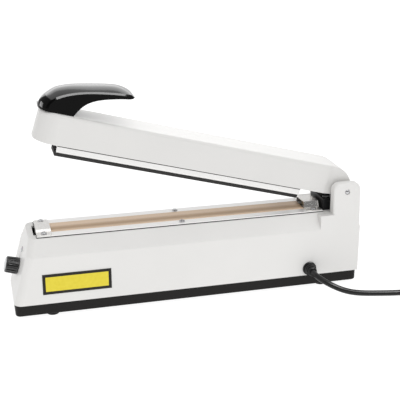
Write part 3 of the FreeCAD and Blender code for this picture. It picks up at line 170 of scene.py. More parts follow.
WIRE_MM = 0.8
copper, tree, place = blank_finish("enamelled_copper_wire")
turns = node(
    tree,
    "ShaderNodeTexWave",
    {"Vector": place},
    {"Scale": 1000 / WIRE_MM / WAVE_PHASE, "Distortion": 0.5},
    bands_direction="Z",
)
coat(
    tree,
    turns.outputs["Fac"],
    colours=("#6b3a1c", "#c07c48"),
    rise=0.0003,
    shader={"Metallic": 0.7, "Roughness": 0.32},
)
dress(copper, "transformer_winding")

# Timer board and switch: a glass-fibre board on four pillars, with a relay and a finned heat sink.
# Its green lacquer lies over copper tracks, which show as paler squared patches.
# The micro switch, of dull black phenolic like the relay, hangs under the deck on a plated bracket.
TRACK_MM = 3.0
board, tree, place = blank_finish("lacquered_circuit_board")
tracks = node(
    tree,
    "ShaderNodeTexVoronoi",
    {"Vector": place},
    {"Scale": 1000 / TRACK_MM, "Randomness": 0.55},
    distance="CHEBYCHEV",
    feature="DISTANCE_TO_EDGE",
)
patch = node(
    tree,
    "ShaderNodeMapRange",
    {"Value": tracks.outputs["Distance"]},
    {"From Min": 0.06, "From Max": 0.1},
)
coat(tree, patch.outputs["Result"], colours=("#1f4631", "#3c7453"), shader={"Roughness": 0.28})
dress(board, "timer_board")
dress(zinc, "board_standoffs", "switch_bracket")

MOULD_GRAIN_MM = 0.8
phenolic = grained_finish(
    "moulded_black_phenolic",
    MOULD_GRAIN_MM,
    detail=2.0,
    colours=("#0b0b0c", "#1c1c1d"),
    roughness=(0.3, 0.5),
    shader={"Specular IOR Level": 0.22},
)
dress(phenolic, "board_relay", "micro_switch")

# Base housing: a pressed steel shell with one sloped end and two hinge ears, stove enamelled.
# The enamel is a warm off white with a soft sheen and the faint orange peel that spraying leaves.
CLOUD_MM = 70.0


def off_white_finish(name, grain_mm, colours):
    """An off white skin with a soft sheen, a fine raised grain and a faint cloudiness."""
    finish, tree, place = blank_finish(name)
    low, high = colours
    grain = node(tree, "ShaderNodeTexNoise", {"Vector": place}, {"Scale": 1000 / grain_mm, "Detail": 2.0})
    cloud = node(tree, "ShaderNodeTexNoise", {"Vector": place}, {"Scale": 1000 / CLOUD_MM, "Detail": 2.0})
    colour = node(
        tree,
        "ShaderNodeMix",
        {0: cloud.outputs["Fac"]},
        {6: linear(low), 7: linear(high)},
        data_type="RGBA",
    )
    sheen = node(
        tree,
        "ShaderNodeMapRange",
        {"Value": grain.outputs["Fac"]},
        {"To Min": 0.32, "To Max": 0.46},
    )
    raised = node(tree, "ShaderNodeBump", {"Height": grain.outputs["Fac"]}, {"Distance": 0.00002})
    skin = node(
        tree,
        "ShaderNodeBsdfPrincipled",
        {
            "Base Color": colour.outputs[2],
            "Roughness": sheen.outputs["Result"],
            "Normal": raised.outputs["Normal"],
        },
    )
    node(tree, "ShaderNodeOutputMaterial", {"Surface": skin.outputs["BSDF"]})
    return finish


PEEL_MM = 1.6
enamel = off_white_finish("stove_enamel_off_white", PEEL_MM, ("#dfdedc", "#e6e5e3"))
dress(enamel, "base_housing")

# Badge: a thin film label stuck on the front wall, black with one plain yellow panel.
# The printed film is smooth, with a low gloss, a faint mottle in its inks and cut edges.
SQUARE_ON = 0.9
SHARP = math.radians(35)


def block(low, high):
    """A cube from corner to corner with its place in its mesh, left in edit mode with all selected."""
    low = Vector(low)
    high = Vector(high)
    bpy.ops.object.select_all(action="DESELECT")
    bpy.ops.mesh.primitive_cube_add(size=1, location=(low + high) / 2, scale=high - low)
    bpy.ops.object.transform_apply(location=True, rotation=True, scale=True)
    bpy.ops.object.mode_set(mode="EDIT")
    bpy.ops.mesh.select_mode(type="FACE")


def pick_faces(test):
    """Selects only the faces of the piece in hand whose centre and normal pass a test."""
    bpy.ops.mesh.select_mode(type="FACE")
    bpy.ops.mesh.select_all(action="DESELECT")
    bpy.ops.object.mode_set(mode="OBJECT")
    for face in bpy.context.object.data.polygons:
        face.select = bool(test(face.center, face.normal))
    bpy.ops.object.mode_set(mode="EDIT")


def soften(width, segments=2):
    """Bevels the sharp edges of the piece in hand and shades it."""
    bpy.ops.object.mode_set(mode="OBJECT")
    bevel = bpy.context.object.modifiers.new("soft_edges", "BEVEL")
    bevel.width = width
    bevel.segments = segments
    bevel.limit_method = "ANGLE"
    bevel.angle_limit = SHARP
    bpy.ops.object.modifier_apply(modifier=bevel.name)
    bpy.ops.object.shade_smooth_by_angle(angle=SHARP)


def settle(name, body, slot, *materials):
    """Names the piece in hand, applies its place, and gives it its finish and body; its slot argument is
    not used.
    """
    piece = bpy.context.object
    bpy.ops.object.transform_apply(location=True, rotation=True, scale=True)
    piece.name = name
    for material in materials:
        piece.data.materials.append(material)
    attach(piece, body)
    return piece


INK_MOTTLE_MM = 4.0
FILM_LOOK = {"detail": 2.0, "roughness": (0.3, 0.42), "shader": {"Specular IOR Level": 0.25}}
BLACK_INK = ("#1b1916", "#26231f")
YELLOW_INK = ("#dcc935", "#e8d848")
black_ink = grained_finish("black_printed_film", INK_MOTTLE_MM, colours=BLACK_INK, **FILM_LOOK)
yellow_ink = grained_finish("yellow_printed_film", INK_MOTTLE_MM, colours=YELLOW_INK, **FILM_LOOK)
BADGE_BORDER = 0.0034
INK_RISE = 0.00008
FILM_EDGE = 0.00006
NEAR_CENTRE = 0.001
badge_low, badge_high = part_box("badge_plate")
block(badge_low, badge_high)
pick_faces(lambda centre, normal: normal.y < -SQUARE_ON)
bpy.ops.mesh.inset(thickness=BADGE_BORDER)
bpy.ops.mesh.extrude_region_move(TRANSFORM_OT_translate={"value": (0, INK_RISE, 0)})
bpy.ops.object.mode_set(mode="OBJECT")
for face in bpy.context.object.data.polygons:
    off = face.center - (badge_low + badge_high) / 2
    printed = face.normal.y < -SQUARE_ON and abs(off.x) < NEAR_CENTRE and abs(off.z) < NEAR_CENTRE
    face.material_index = 1 if printed else 0
bpy.ops.object.mode_set(mode="EDIT")
soften(FILM_EDGE, segments=1)
badge = settle("badge_label", "base", "badge_film", black_ink, yellow_ink)
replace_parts(badge, "badge_plate")

# Strain relief: a moulded PVC bush snapped in the front wall, where the mains lead comes out.
# Its collar is plain, and the snout narrows over ribs to the lead; the PVC has a soft gloss.
TURNED_SHARP = math.radians(40)


def turned(start, direction, profile, sides):
    """A closed form of revolution from rows of millimetres along a direction and of radius."""
    start = Vector(start)
    aim = Vector(direction).normalized()
    rows = [(along / 1000, radius / 1000) for along, radius in profile]
    here, wide = rows[0]
    bpy.ops.object.select_all(action="DESELECT")
    bpy.ops.mesh.primitive_circle_add(
        vertices=sides,
        radius=wide,
        fill_type="NGON",
        location=start + aim * here,
        rotation=aim.to_track_quat("Z", "Y").to_euler(),
    )
    bpy.ops.object.transform_apply(location=True, rotation=True, scale=True)
    bpy.ops.object.mode_set(mode="EDIT")
    bpy.ops.mesh.select_mode(type="FACE")
    bpy.ops.mesh.select_all(action="SELECT")
    for along, radius in rows[1:]:
        bpy.ops.mesh.extrude_region_move(TRANSFORM_OT_translate={"value": aim * (along - here)})
        bpy.ops.transform.resize(value=[radius / wide] * 3, center_override=start + aim * along)
        here = along
        wide = radius
    bpy.ops.mesh.select_all(action="SELECT")
    bpy.ops.mesh.normals_make_consistent(inside=False)
    bpy.ops.object.mode_set(mode="OBJECT")
    bpy.ops.object.shade_smooth_by_angle(angle=TURNED_SHARP)


PVC_GRAIN_MM = 2.2
cord_pvc = grained_finish(
    "glossy_black_pvc",
    PVC_GRAIN_MM,
    detail=3.0,
    colours=("#0d0d0d", "#1d1d1d"),
    roughness=(0.24, 0.36),
    rise=0.00002,
    shader={"Specular IOR Level": 0.3},
)
GLAND_EXIT = (0.14997, -0.0425, 0.0265)
BUSH_PROFILE = [
    (-8.5, 7.4), (-8.1, 7.9), (-2.6, 7.9), (-2.5, 6.3), (0, 6.3), (0, 8.3), (0.3, 8.6), (1.9, 8.5),
    (2.4, 8.0), (2.5, 6.7), (3.4, 6.5), (3.6, 7.2), (5.4, 7.0), (5.6, 6.1), (6.6, 5.9), (6.8, 6.6),
    (8.4, 6.4), (8.6, 5.4), (9.6, 5.3), (9.8, 5.9), (11.6, 5.6), (12.2, 5.0), (12.5, 4.2), (12.5, 3.6),
]
turned(GLAND_EXIT, (0, -1, 0), BUSH_PROFILE, sides=40)
bush = settle("strain_relief", "base", "rubber_black", cord_pvc)
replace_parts(bush, "cable_gland")

# Mains lead: a round PVC cord that falls from the bush to the floor and runs on past the machine.
# The length out of sight lies wound in a neat coil with its plug beside it.
# Its route is in millimetres along the machine, out from its wall, and up from where it lies flat.
CORD_MM = 7.0
LEAD_ROUTE = [
    (0, 12.5, 23), (0, 22.5, 23), (4.6, 33.1, 20.7), (13, 41.1, 16.9), (24, 45.1, 11.9), (37, 46.1, 7.3),
    (53, 45.8, 4.0), (72, 46.2, 2.0), (93, 48.0, 0.6), (115, 49.4, 0.1), (137, 48.8, 0.4), (155, 47.2, 1.1),
    (170, 46.5, 1.4),
]
lead_points = [
    Vector((GLAND_EXIT[0] + along / 1000, GLAND_EXIT[1] - out / 1000, (CORD_MM / 2 + up) / 1000))
    for along, out, up in LEAD_ROUTE
]
COIL_CENTRE = Vector((0.33397, -0.043, 0))
COIL_HALF_TURNS = [
    (46, 4.9), (42.15, 4.9), (38.3, 4.9), (34.45, 4.9), (30.6, 4.9), (28.2, 12.6), (34.1, 12.6),
    (37.95, 12.6), (41.8, 12.6), (45.65, 12.6), (49.5, 12.6),
]
POINTS_PER_HALF_TURN = 8
PLUG_TAIL = 0.014
for turn, ((near, low), (far, high)) in enumerate(zip(COIL_HALF_TURNS, COIL_HALF_TURNS[1:])):
    side = -1 if turn % 2 else 1
    radius = (near + far) / 2
    for step in range(POINTS_PER_HALF_TURN):
        angle = math.pi * step / POINTS_PER_HALF_TURN
        across = (far - near) / 2 - radius * math.cos(angle)
        level = low + (high - low) * (1 - math.cos(angle)) / 2
        spot = Vector((side * radius * math.sin(angle), side * across, level))
        lead_points.append(COIL_CENTRE + spot / 1000)
outer_reach, outer_level = COIL_HALF_TURNS[-1]
coil_end = COIL_CENTRE + Vector((0, -outer_reach, outer_level)) / 1000
plug_start = coil_end + Vector((PLUG_TAIL, 0, 0))
lead_points += [coil_end, plug_start]
lead_line = bpy.data.curves.new("mains_lead", "CURVE")
lead_line.dimensions = "3D"
lead_line.bevel_depth = CORD_MM / 2000
lead_line.bevel_resolution = 5
lead_line.resolution_u = 6
lead_line.use_fill_caps = True
spline = lead_line.splines.new("NURBS")
spline.points.add(len(lead_points) - 1)
for control, spot in zip(spline.points, lead_points):
    control.co = (*spot, 1.0)
spline.order_u = 3
spline.use_endpoint_u = True
lead = bpy.data.objects.new("mains_lead", lead_line)
bpy.context.scene.collection.objects.link(lead)
lead_line.materials.append(cord_pvc)
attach(lead, "base")
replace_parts(lead, "power_cord", "cord_coil")

# Plug: a moulded two-pin plug with a ribbed sleeve, its pins of nickel plated brass.
# The body widens over a finger groove to a blunt face; the pins' plating is rubbed yellow in places.
PLUG_PROFILE = [
    (0, 4.3), (0.4, 5.0), (2.6, 5.2), (2.8, 4.5), (4.2, 4.6), (4.4, 5.5), (6.6, 5.7), (6.8, 4.8),
    (8.2, 4.9), (8.4, 5.9), (10.6, 6.1), (10.8, 5.1), (12.2, 5.3), (12.4, 6.2), (15.5, 6.6), (18.0, 6.9),
    (18.6, 8.6), (19.6, 9.6), (27, 10.6), (27.8, 10.1), (31, 10.4), (31.8, 11.1), (43, 12.1), (45, 12.0),
    (45.8, 11.3), (46, 10.2),
]
turned(plug_start, (1, 0, 0), PLUG_PROFILE, sides=40)
plug = settle("moulded_plug", "base", "rubber_black", cord_pvc)
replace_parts(plug, "plug_body")

RUB_MM = 1.5
nickel_brass = grained_finish(
    "nickel_plated_brass",
    RUB_MM,
    detail=4.0,
    colours=("#b59a58", "#d9d2bd"),
    roughness=(0.18, 0.4),
    shader={"Metallic": 1.0},
)
dress(nickel_brass, "plug_pins")


# Coil tie: a flat strap of soft plastic round the coil's turns, closed by a small buckle.
# It keeps the stored length together and is a little more matt than the lead.
def pick_edges(test):
    """Selects only the edges of the piece in hand whose two ends pass a test."""
    bpy.ops.mesh.select_mode(type="EDGE")
    bpy.ops.mesh.select_all(action="DESELECT")
    bpy.ops.object.mode_set(mode="OBJECT")
    mesh = bpy.context.object.data
    for edge in mesh.edges:
        first, second = (mesh.vertices[index].co for index in edge.vertices)
        edge.select = bool(test(first, second))
    bpy.ops.object.mode_set(mode="EDIT")


STRAP_ROUND = 0.0034
STRAP_SHEET = 0.0009
STRAP_EDGE = 0.0002
STRAP_RUN = 0.005
tie_low, tie_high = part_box("cord_tie")
block(tie_low, tie_high)
pick_edges(lambda first, second: abs(first.y - second.y) > STRAP_RUN)
bpy.ops.mesh.bevel(offset=STRAP_ROUND, segments=5)
pick_faces(lambda centre, normal: abs(normal.y) > SQUARE_ON)
bpy.ops.mesh.delete(type="FACE")
bpy.ops.object.mode_set(mode="OBJECT")
wall = bpy.context.object.modifiers.new("strap", "SOLIDIFY")
wall.thickness = STRAP_SHEET
wall.offset = -1
bpy.ops.object.modifier_apply(modifier=wall.name)
bpy.ops.object.mode_set(mode="EDIT")
soften(STRAP_EDGE)
strap = bpy.context.object
BUCKLE_HALF = Vector((0.0032, 0.0044, 0.0018))
BUCKLE_UP = 0.0170
BUCKLE_RIM = 0.0011
BUCKLE_HOLLOW = 0.0006
BUCKLE_EDGE = 0.0003
tie_middle = (tie_low + tie_high) / 2
buckle_spot = Vector((tie_middle.x, tie_middle.y, tie_low.z + BUCKLE_UP))
block(buckle_spot - BUCKLE_HALF, buckle_spot + BUCKLE_HALF)
pick_faces(lambda centre, normal: normal.z > SQUARE_ON)
bpy.ops.mesh.inset(thickness=BUCKLE_RIM)
bpy.ops.mesh.extrude_region_move(TRANSFORM_OT_translate={"value": (0, 0, -BUCKLE_HOLLOW)})
soften(BUCKLE_EDGE)
strap.select_set(True)
bpy.ops.object.join()
tie = settle("coil_tie", "base", "black_plastic", rubber)
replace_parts(tie, "cord_tie")

# Time knob: a ribbed satin black knob on the potentiometer's plated shaft, with a spun disc on its face.
# Sixteen grooves run along its grip; the disc is bare aluminium with fine rings from its turning.
dress(phenolic, "timer_potentiometer")
dress(zinc, "knob_shaft")
KNOB_FACE = Vector((-0.19676, 0, 0.05))
KNOB_OUT = Vector((-0.96162, 0, 0.27438))
KNOB_UP = KNOB_OUT.cross(Vector((0, 1, 0)))
KNOB_EDGE = 0.00015
GRIP_FROM = 0.0027
GRIP_TO = 0.0135
GRIP_LEAN = 0.2
GROOVES = 16
GROOVE_SHARE = 0.5
GROOVE_DEPTH = 0.0011
GROOVE_MARGIN = 0.0001
SIDES_PER_GROOVE = 4
KNOB_PROFILE = [
    (0.6, 9.2), (0.6, 9.95), (2.2, 9.95), (2.6, 9.9), (13.6, 9.55), (14.3, 9.3), (14.9, 8.8), (15.1, 8.2),
    (15.1, 2.0),
]


def in_groove(centre, normal):
    """True for the grip's faces that lie in a groove."""
    reach = centre - KNOB_FACE
    on_grip = GRIP_FROM < reach.dot(KNOB_OUT) < GRIP_TO and abs(normal.dot(KNOB_OUT)) < GRIP_LEAN
    turn = math.atan2(reach.dot(KNOB_UP), reach.y) / math.tau * GROOVES % 1
    return on_grip and turn < GROOVE_SHARE


turned(KNOB_FACE, KNOB_OUT, KNOB_PROFILE, sides=GROOVES * SIDES_PER_GROOVE)
bpy.ops.object.mode_set(mode="EDIT")
pick_faces(in_groove)
bpy.ops.mesh.inset(thickness=GROOVE_MARGIN)
bpy.ops.mesh.extrude_region_shrink_fatten(TRANSFORM_OT_shrink_fatten={"value": -GROOVE_DEPTH})
soften(KNOB_EDGE)
KNOB_GRAIN_MM = 0.6
knob_black = grained_finish(
    "satin_black_knob",
    KNOB_GRAIN_MM,
    detail=2.0,
    colours=("#0f0f0f", "#1f1f1f"),
    roughness=(0.16, 0.28),
    shader={"Specular IOR Level": 0.7},
)
knob = settle("ribbed_knob", "knob", "black_plastic", knob_black)
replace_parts(knob, "time_knob")

DISC_PROFILE = [
    (15.1, 7.6), (15.4, 7.6), (15.75, 7.3), (15.9, 6.8), (15.85, 6.2), (15.7, 5.8), (15.7, 0.6),
]
turned(KNOB_FACE, KNOB_OUT, DISC_PROFILE, sides=48)
RING_MM = 0.35
spun_disc, tree, place = blank_finish("spun_aluminium")
centred = node(tree, "ShaderNodeVectorMath", {0: place}, {1: KNOB_FACE}, operation="SUBTRACT")
rings = node(
    tree,
    "ShaderNodeTexWave",
    {"Vector": centred.outputs["Vector"]},
    {"Scale": 1000 / RING_MM / WAVE_PHASE, "Distortion": 0.6, "Detail": 2.0},
    wave_type="RINGS",
    rings_direction="SPHERICAL",
)
coat(
    tree,
    rings.outputs["Fac"],
    colours=("#c4c5c7", "#dedfe0"),
    roughness=(0.3, 0.44),
    shader={"Metallic": 0.85},
)
disc = settle("knob_disc", "knob", "aluminium_bar", spun_disc)
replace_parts(disc, "knob_cap")

# Pilot lamp: a small domed lens in a bezel, pressed into the sloped end above the knob.
# The unlit lens is a milky grey, smooth and a little cloudy inside.
LAMP_FACE = Vector((-0.190908, 0, 0.0705))
LAMP_PROFILE = [
    (-12, 2.4), (-11.8, 2.6), (0, 2.6), (0, 3.2), (0.3, 3.3), (0.6, 3.2), (0.75, 2.9), (0.6, 2.6),
    (0.8, 2.4), (1.0, 1.9), (1.15, 1.1), (1.2, 0.3),
]
turned(LAMP_FACE, KNOB_OUT, LAMP_PROFILE, sides=32)
LENS_CLOUD_MM = 3.0
lens = grained_finish(
    "milky_grey_lens",
    LENS_CLOUD_MM,
    detail=2.0,
    colours=("#a9aaab", "#c6c7c7"),
    shader={"Roughness": 0.14, "Subsurface Weight": 0.15, "Subsurface Scale": 0.001},
)
lamp = settle("pilot_lens", "base", "grey_lamp", lens)
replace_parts(lamp, "indicator_lamp")

# Sealing rail: an extruded aluminium channel let into the deck, its two flanges lying on the enamel.
# It is left as drawn: bright, with fine lines along its length, on a thin black strip that is painted
# shadow for the dark line under its flanges.
# The heat sink on the timer board is cut from a like section.
DRAW_LINE_MM = 0.5
DRAW_STRETCH = 60.0
drawn, tree, place = blank_finish("drawn_aluminium")
stretched = node(
    tree,
    "ShaderNodeVectorMath",
    {0: place},
    {1: (1 / DRAW_STRETCH, 1, 1)},
    operation="MULTIPLY",
)
lines = node(
    tree,
    "ShaderNodeTexNoise",
    {"Vector": stretched.outputs["Vector"]},
    {"Scale": 1000 / DRAW_LINE_MM, "Detail": 3.0},
)
coat(
    tree,
    lines.outputs["Fac"],
    colours=("#ebeae8", "#fbfaf9"),
    roughness=(0.26, 0.46),
    rise=0.00001,
    shader={"Metallic": 0.6},
)
dress(drawn, "sealing_rail", "triac_heatsink")

# A black strip round the rail's foot: painted shadow for the dark line under its flanges.
SHADOW_LINE_LIP = 0.0004
SHADOW_LINE_SHEET = 0.0008
DECK = 0.0925
rail_low, rail_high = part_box("sealing_rail")
rail_middle = (rail_low + rail_high) / 2
rail_size = rail_high - rail_low
bpy.ops.object.select_all(action="DESELECT")
bpy.ops.mesh.primitive_plane_add(size=1, location=(rail_middle.x, rail_middle.y, DECK))
bpy.context.object.scale = (rail_size.x + 2 * SHADOW_LINE_LIP, rail_size.y + 2 * SHADOW_LINE_LIP, 1)
bpy.ops.object.transform_apply(location=True, rotation=True, scale=True)
bpy.ops.object.mode_set(mode="EDIT")
bpy.ops.mesh.select_mode(type="FACE")
bpy.ops.mesh.select_all(action="SELECT")
bpy.ops.mesh.inset(thickness=SHADOW_LINE_LIP)
bpy.ops.mesh.delete(type="FACE")
bpy.ops.mesh.select_all(action="SELECT")
bpy.ops.mesh.extrude_region_move(TRANSFORM_OT_translate={"value": (0, 0, SHADOW_LINE_SHEET)})
bpy.ops.mesh.select_all(action="SELECT")
bpy.ops.mesh.normals_make_consistent(inside=False)
bpy.ops.object.mode_set(mode="OBJECT")
settle("rail_painted_shadow_line", "base", "rubber_black", rubber)

# Heating strip: a flat resistance ribbon on a band of white glass cloth, clamped at both ends.
# The ribbon has a bluish oxide bloom; brass blocks under the clips carry the current to it.
dress(nickel_brass, "element_terminals")
WEAVE_MM = 0.6
glass_cloth, tree, place = blank_finish("white_glass_cloth")
weave = node(
    tree,
    "ShaderNodeTexChecker",
    {"Vector": place},
    {"Scale": 1000 / WEAVE_MM, "Color1": linear("#dedad0"), "Color2": linear("#f1eee6")},
)
cloth = node(tree, "ShaderNodeBsdfPrincipled", {"Base Color": weave.outputs["Color"]}, {"Roughness": 0.8})
node(tree, "ShaderNodeOutputMaterial", {"Surface": cloth.outputs["BSDF"]})
dress(glass_cloth, "insulation_strip")

BLOOM_MM = 9.0
ribbon = grained_finish(
    "oxidised_resistance_ribbon",
    BLOOM_MM,
    detail=3.0,
    colours=("#6d6a72", "#a19688"),
    shader={"Metallic": 0.9, "Roughness": 0.35},
)
dress(ribbon, "heating_element")

# Cover strip: a band of tan coated glass cloth laid tight over the ribbon, its edges stuck to the rail.
# It steps up over the insulation and again over the ribbon, and is mixed darker and browner in a broad band
# a little in front of its middle.
COVER_SHEET = 0.0002
COVER_STEPS = [(0.0120, 0.00060), (0.0016, 0.00080)]
CLOTH_SHARP = math.radians(50)
cover_low, cover_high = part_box("ptfe_cover")
cover_size = cover_high - cover_low
bpy.ops.object.select_all(action="DESELECT")
bpy.ops.mesh.primitive_grid_add(
    x_subdivisions=154,
    y_subdivisions=56,
    size=1,
    location=((cover_low.x + cover_high.x) / 2, 0, cover_low.z + COVER_SHEET),
)
bpy.context.object.scale = (cover_size.x, cover_size.y, 1)
bpy.ops.object.transform_apply(location=True, rotation=True, scale=True)
bpy.ops.object.mode_set(mode="EDIT")
risen = COVER_SHEET
for half_width, level in COVER_STEPS:
    pick_faces(lambda centre, normal: abs(centre.y) < half_width)
    bpy.ops.transform.translate(value=(0, 0, level - risen))
    risen = level
bpy.ops.object.mode_set(mode="OBJECT")
slack = bpy.context.object.modifiers.new("slack", "SMOOTH")
slack.iterations = 2
slack.use_x = False
slack.use_y = False
bpy.ops.object.modifier_apply(modifier=slack.name)
cloth_wall = bpy.context.object.modifiers.new("cloth", "SOLIDIFY")
cloth_wall.thickness = COVER_SHEET
cloth_wall.offset = -1
bpy.ops.object.modifier_apply(modifier=cloth_wall.name)
bpy.ops.object.shade_smooth_by_angle(angle=CLOTH_SHARP)

TAN_WEAVE_MM = 0.5
# A broad band a little in front of the strip's middle is mixed toward a darker brown.
DARK_BAND_AT = -0.0055
DARK_BAND_HALF = 0.0105
DARK_BAND_SHARE = 0.85
tan_cloth, tree, place = blank_finish("tan_coated_glass_cloth")
weave = node(
    tree,
    "ShaderNodeTexChecker",
    {"Vector": place},
    {"Scale": 1000 / TAN_WEAVE_MM, "Color1": linear("#cfb69d"), "Color2": linear("#d9c1a9")},
)
across = node(tree, "ShaderNodeSeparateXYZ", {"Vector": place})
off_line = node(tree, "ShaderNodeMath", {0: across.outputs["Y"]}, {1: DARK_BAND_AT}, operation="SUBTRACT")
distance = node(tree, "ShaderNodeMath", {0: off_line.outputs["Value"]}, operation="ABSOLUTE")
dark_band = node(
    tree,
    "ShaderNodeMapRange",
    {"Value": distance.outputs["Value"]},
    {"From Min": 0.0, "From Max": DARK_BAND_HALF, "To Min": DARK_BAND_SHARE, "To Max": 0.0},
    interpolation_type="SMOOTHSTEP",
)
colour = node(
    tree,
    "ShaderNodeMix",
    {0: dark_band.outputs["Result"], 6: weave.outputs["Color"]},
    {7: linear("#9c8062")},
    data_type="RGBA",
)
coated = node(tree, "ShaderNodeBsdfPrincipled", {"Base Color": colour.outputs[2]}, {"Roughness": 0.5})
node(tree, "ShaderNodeOutputMaterial", {"Surface": coated.outputs["BSDF"]})
cover = settle("cover_strip", "base", "tan_cover", tan_cloth)
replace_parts(cover, "ptfe_cover")

# End clips and deck screws: pressed clips hold the strip's ends, each under two screws.
# Two more screws hold the rail at mid length; all six are domed and slotted, bright with nickel.
# The clips are chromed, with fine scuffs across the machine.
SCUFF_MM = 0.7
SCUFF_STRETCH = 12.0
chrome, tree, place = blank_finish("chromed_steel_clip")
stretched = node(
    tree,
    "ShaderNodeVectorMath",
    {0: place},
    {1: (1, 1 / SCUFF_STRETCH, 1)},
    operation="MULTIPLY",
)
scuffs = node(
    tree,
    "ShaderNodeTexNoise",
    {"Vector": stretched.outputs["Vector"]},
    {"Scale": 1000 / SCUFF_MM, "Detail": 3.0},
)
coat(
    tree,
    scuffs.outputs["Fac"],
    colours=("#d5d3d0", "#f7f5f3"),
    roughness=(0.06, 0.2),
    shader={"Metallic": 0.9},
)
dress(chrome, "end_clip_left", "end_clip_right")

NICKEL_CLOUD_MM = 2.0
nickel = grained_finish(
    "nickel_plated_steel",
    NICKEL_CLOUD_MM,
    detail=2.0,
    colours=("#b0b0b2", "#d8d8d9"),
    roughness=(0.12, 0.24),
    shader={"Metallic": 1.0},
)
SLOT_HALF = Vector((0.004, 0.0005, 0.0009))
SCREW_PROFILE = [
    (-6.2, 1.5), (0, 1.5), (0, 3.3), (0.1, 3.4), (0.9, 3.4), (1.5, 3.0), (1.95, 2.3), (2.2, 1.3),
    (2.3, 0.3),
]
SCREW_TOP = Vector((0, 0, SCREW_PROFILE[-1][0] / 1000))
turned((0, 0, 0), (0, 0, 1), SCREW_PROFILE, sides=28)
screw = bpy.context.object
block(SCREW_TOP - SLOT_HALF, SCREW_TOP + SLOT_HALF)
bpy.ops.object.mode_set(mode="OBJECT")
cutter = bpy.context.object
bpy.context.view_layer.objects.active = screw
slot = screw.modifiers.new("slot", "BOOLEAN")
slot.object = cutter
slot.operation = "DIFFERENCE"
bpy.ops.object.modifier_apply(modifier=slot.name)
bpy.data.objects.remove(cutter)


def copy_of(model):
    """Puts a copy of a modelled piece in hand, with its own mesh."""
    bpy.ops.object.select_all(action="DESELECT")
    model.select_set(True)
    bpy.context.view_layer.objects.active = model
    bpy.ops.object.duplicate()
    return bpy.context.object


def screw_set(name, replaced, seats):
    """Copies of the screw, each set down on its seat with its slot turned, as one piece."""
    copies = []
    for seat, turn in seats:
        copy = copy_of(screw)
        copy.location = seat
        copy.rotation_euler = (0, 0, math.radians(turn))
        copies.append(copy)
    for copy in copies:
        copy.select_set(True)
    bpy.ops.object.join()
    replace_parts(settle(name, "base", "plated_steel", nickel), replaced)


LEFT_CLIP_X = -0.16643
RIGHT_CLIP_X = 0.16067
CLIP_HOLE_Y = 0.0205
CLIP_SEAT = 0.0953
RAIL_HOLE_X = -0.00423
RAIL_HOLE_Y = 0.019
RAIL_SEAT = 0.0942
screw_set(
    "clip_slotted_screws",
    "clip_screws",
    [
        ((LEFT_CLIP_X, -CLIP_HOLE_Y, CLIP_SEAT), 25),
        ((LEFT_CLIP_X, CLIP_HOLE_Y, CLIP_SEAT), 110),
        ((RIGHT_CLIP_X, -CLIP_HOLE_Y, CLIP_SEAT), 70),
        ((RIGHT_CLIP_X, CLIP_HOLE_Y, CLIP_SEAT), 15),
    ],
)
screw_set(
    "rail_slotted_screws",
    "rail_screws",
    [((RAIL_HOLE_X, -RAIL_HOLE_Y, RAIL_SEAT), 40), ((RAIL_HOLE_X, RAIL_HOLE_Y, RAIL_SEAT), 95)],
)
bpy.data.objects.remove(screw)

# Return springs: two coils of spring steel in a moulded box, pressing on an aluminium seat in the arm.
# They hold the arm open and shorten as it comes down, though here each is one rigid coil; the steel is
# oiled and bright.
dress(phenolic, "spring_box")
dress(drawn, "spring_seat")
SPRING_TURNS = 4
SPRING_STEPS = 28
SPRING_X = 0.18097
SPRING_OFFSET = 0.0115
SPRING_FOOT = 0.095
SPRING_RISE = 0.019
SPRING_RADIUS = 0.005
SPRING_WIRE = 0.0007
OIL_MM = 1.0
spring_steel = grained_finish(
    "oiled_spring_steel",
    OIL_MM,
    detail=2.0,
    colours=("#85868a", "#b3b4b7"),
    roughness=(0.2, 0.36),
    shader={"Metallic": 1.0},
)
bpy.ops.object.select_all(action="DESELECT")
bpy.ops.mesh.primitive_circle_add(vertices=12, radius=SPRING_WIRE, rotation=(math.pi / 2, 0, 0))
bpy.ops.object.transform_apply(location=True, rotation=True, scale=True)
bpy.ops.object.mode_set(mode="EDIT")
bpy.ops.mesh.select_all(action="SELECT")
bpy.ops.transform.translate(value=(SPRING_RADIUS, 0, 0))
bpy.ops.object.mode_set(mode="OBJECT")
coil = bpy.context.object
winding = coil.modifiers.new("winding", "SCREW")
winding.screw_offset = (SPRING_RISE - 2 * SPRING_WIRE) / SPRING_TURNS
winding.iterations = SPRING_TURNS
winding.steps = SPRING_STEPS
winding.render_steps = SPRING_STEPS
winding.use_smooth_shade = True
bpy.ops.object.modifier_apply(modifier=winding.name)
bpy.ops.object.mode_set(mode="EDIT")
bpy.ops.mesh.select_mode(type="VERT")
bpy.ops.mesh.select_all(action="DESELECT")
bpy.ops.mesh.select_non_manifold()
bpy.ops.mesh.edge_face_add()
bpy.ops.mesh.select_all(action="SELECT")
bpy.ops.mesh.normals_make_consistent(inside=False)
bpy.ops.object.mode_set(mode="OBJECT")
for name, side in (("front_spring", -1), ("back_spring", 1)):
    foot = Vector((SPRING_X, side * SPRING_OFFSET, SPRING_FOOT))
    copy_of(coil).location = foot + Vector((0, 0, SPRING_WIRE))
    spring = settle(name, "base", "plated_steel", spring_steel)
    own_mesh(spring)
    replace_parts(spring, "return_springs")
bpy.data.objects.remove(coil)

# Switch plunger and pivot bushes: white nylon turnings that slide and turn without oil.
# The nylon is slightly waxy, with a faint cloudiness below its surface.
NYLON_CLOUD_MM = 4.0
nylon = grained_finish(
    "natural_nylon",
    NYLON_CLOUD_MM,
    detail=2.0,
    colours=("#dcd8cb", "#eeebe1"),
    shader={"Roughness": 0.4},
)
dress(nylon, "switch_plunger", "pivot_bushes")

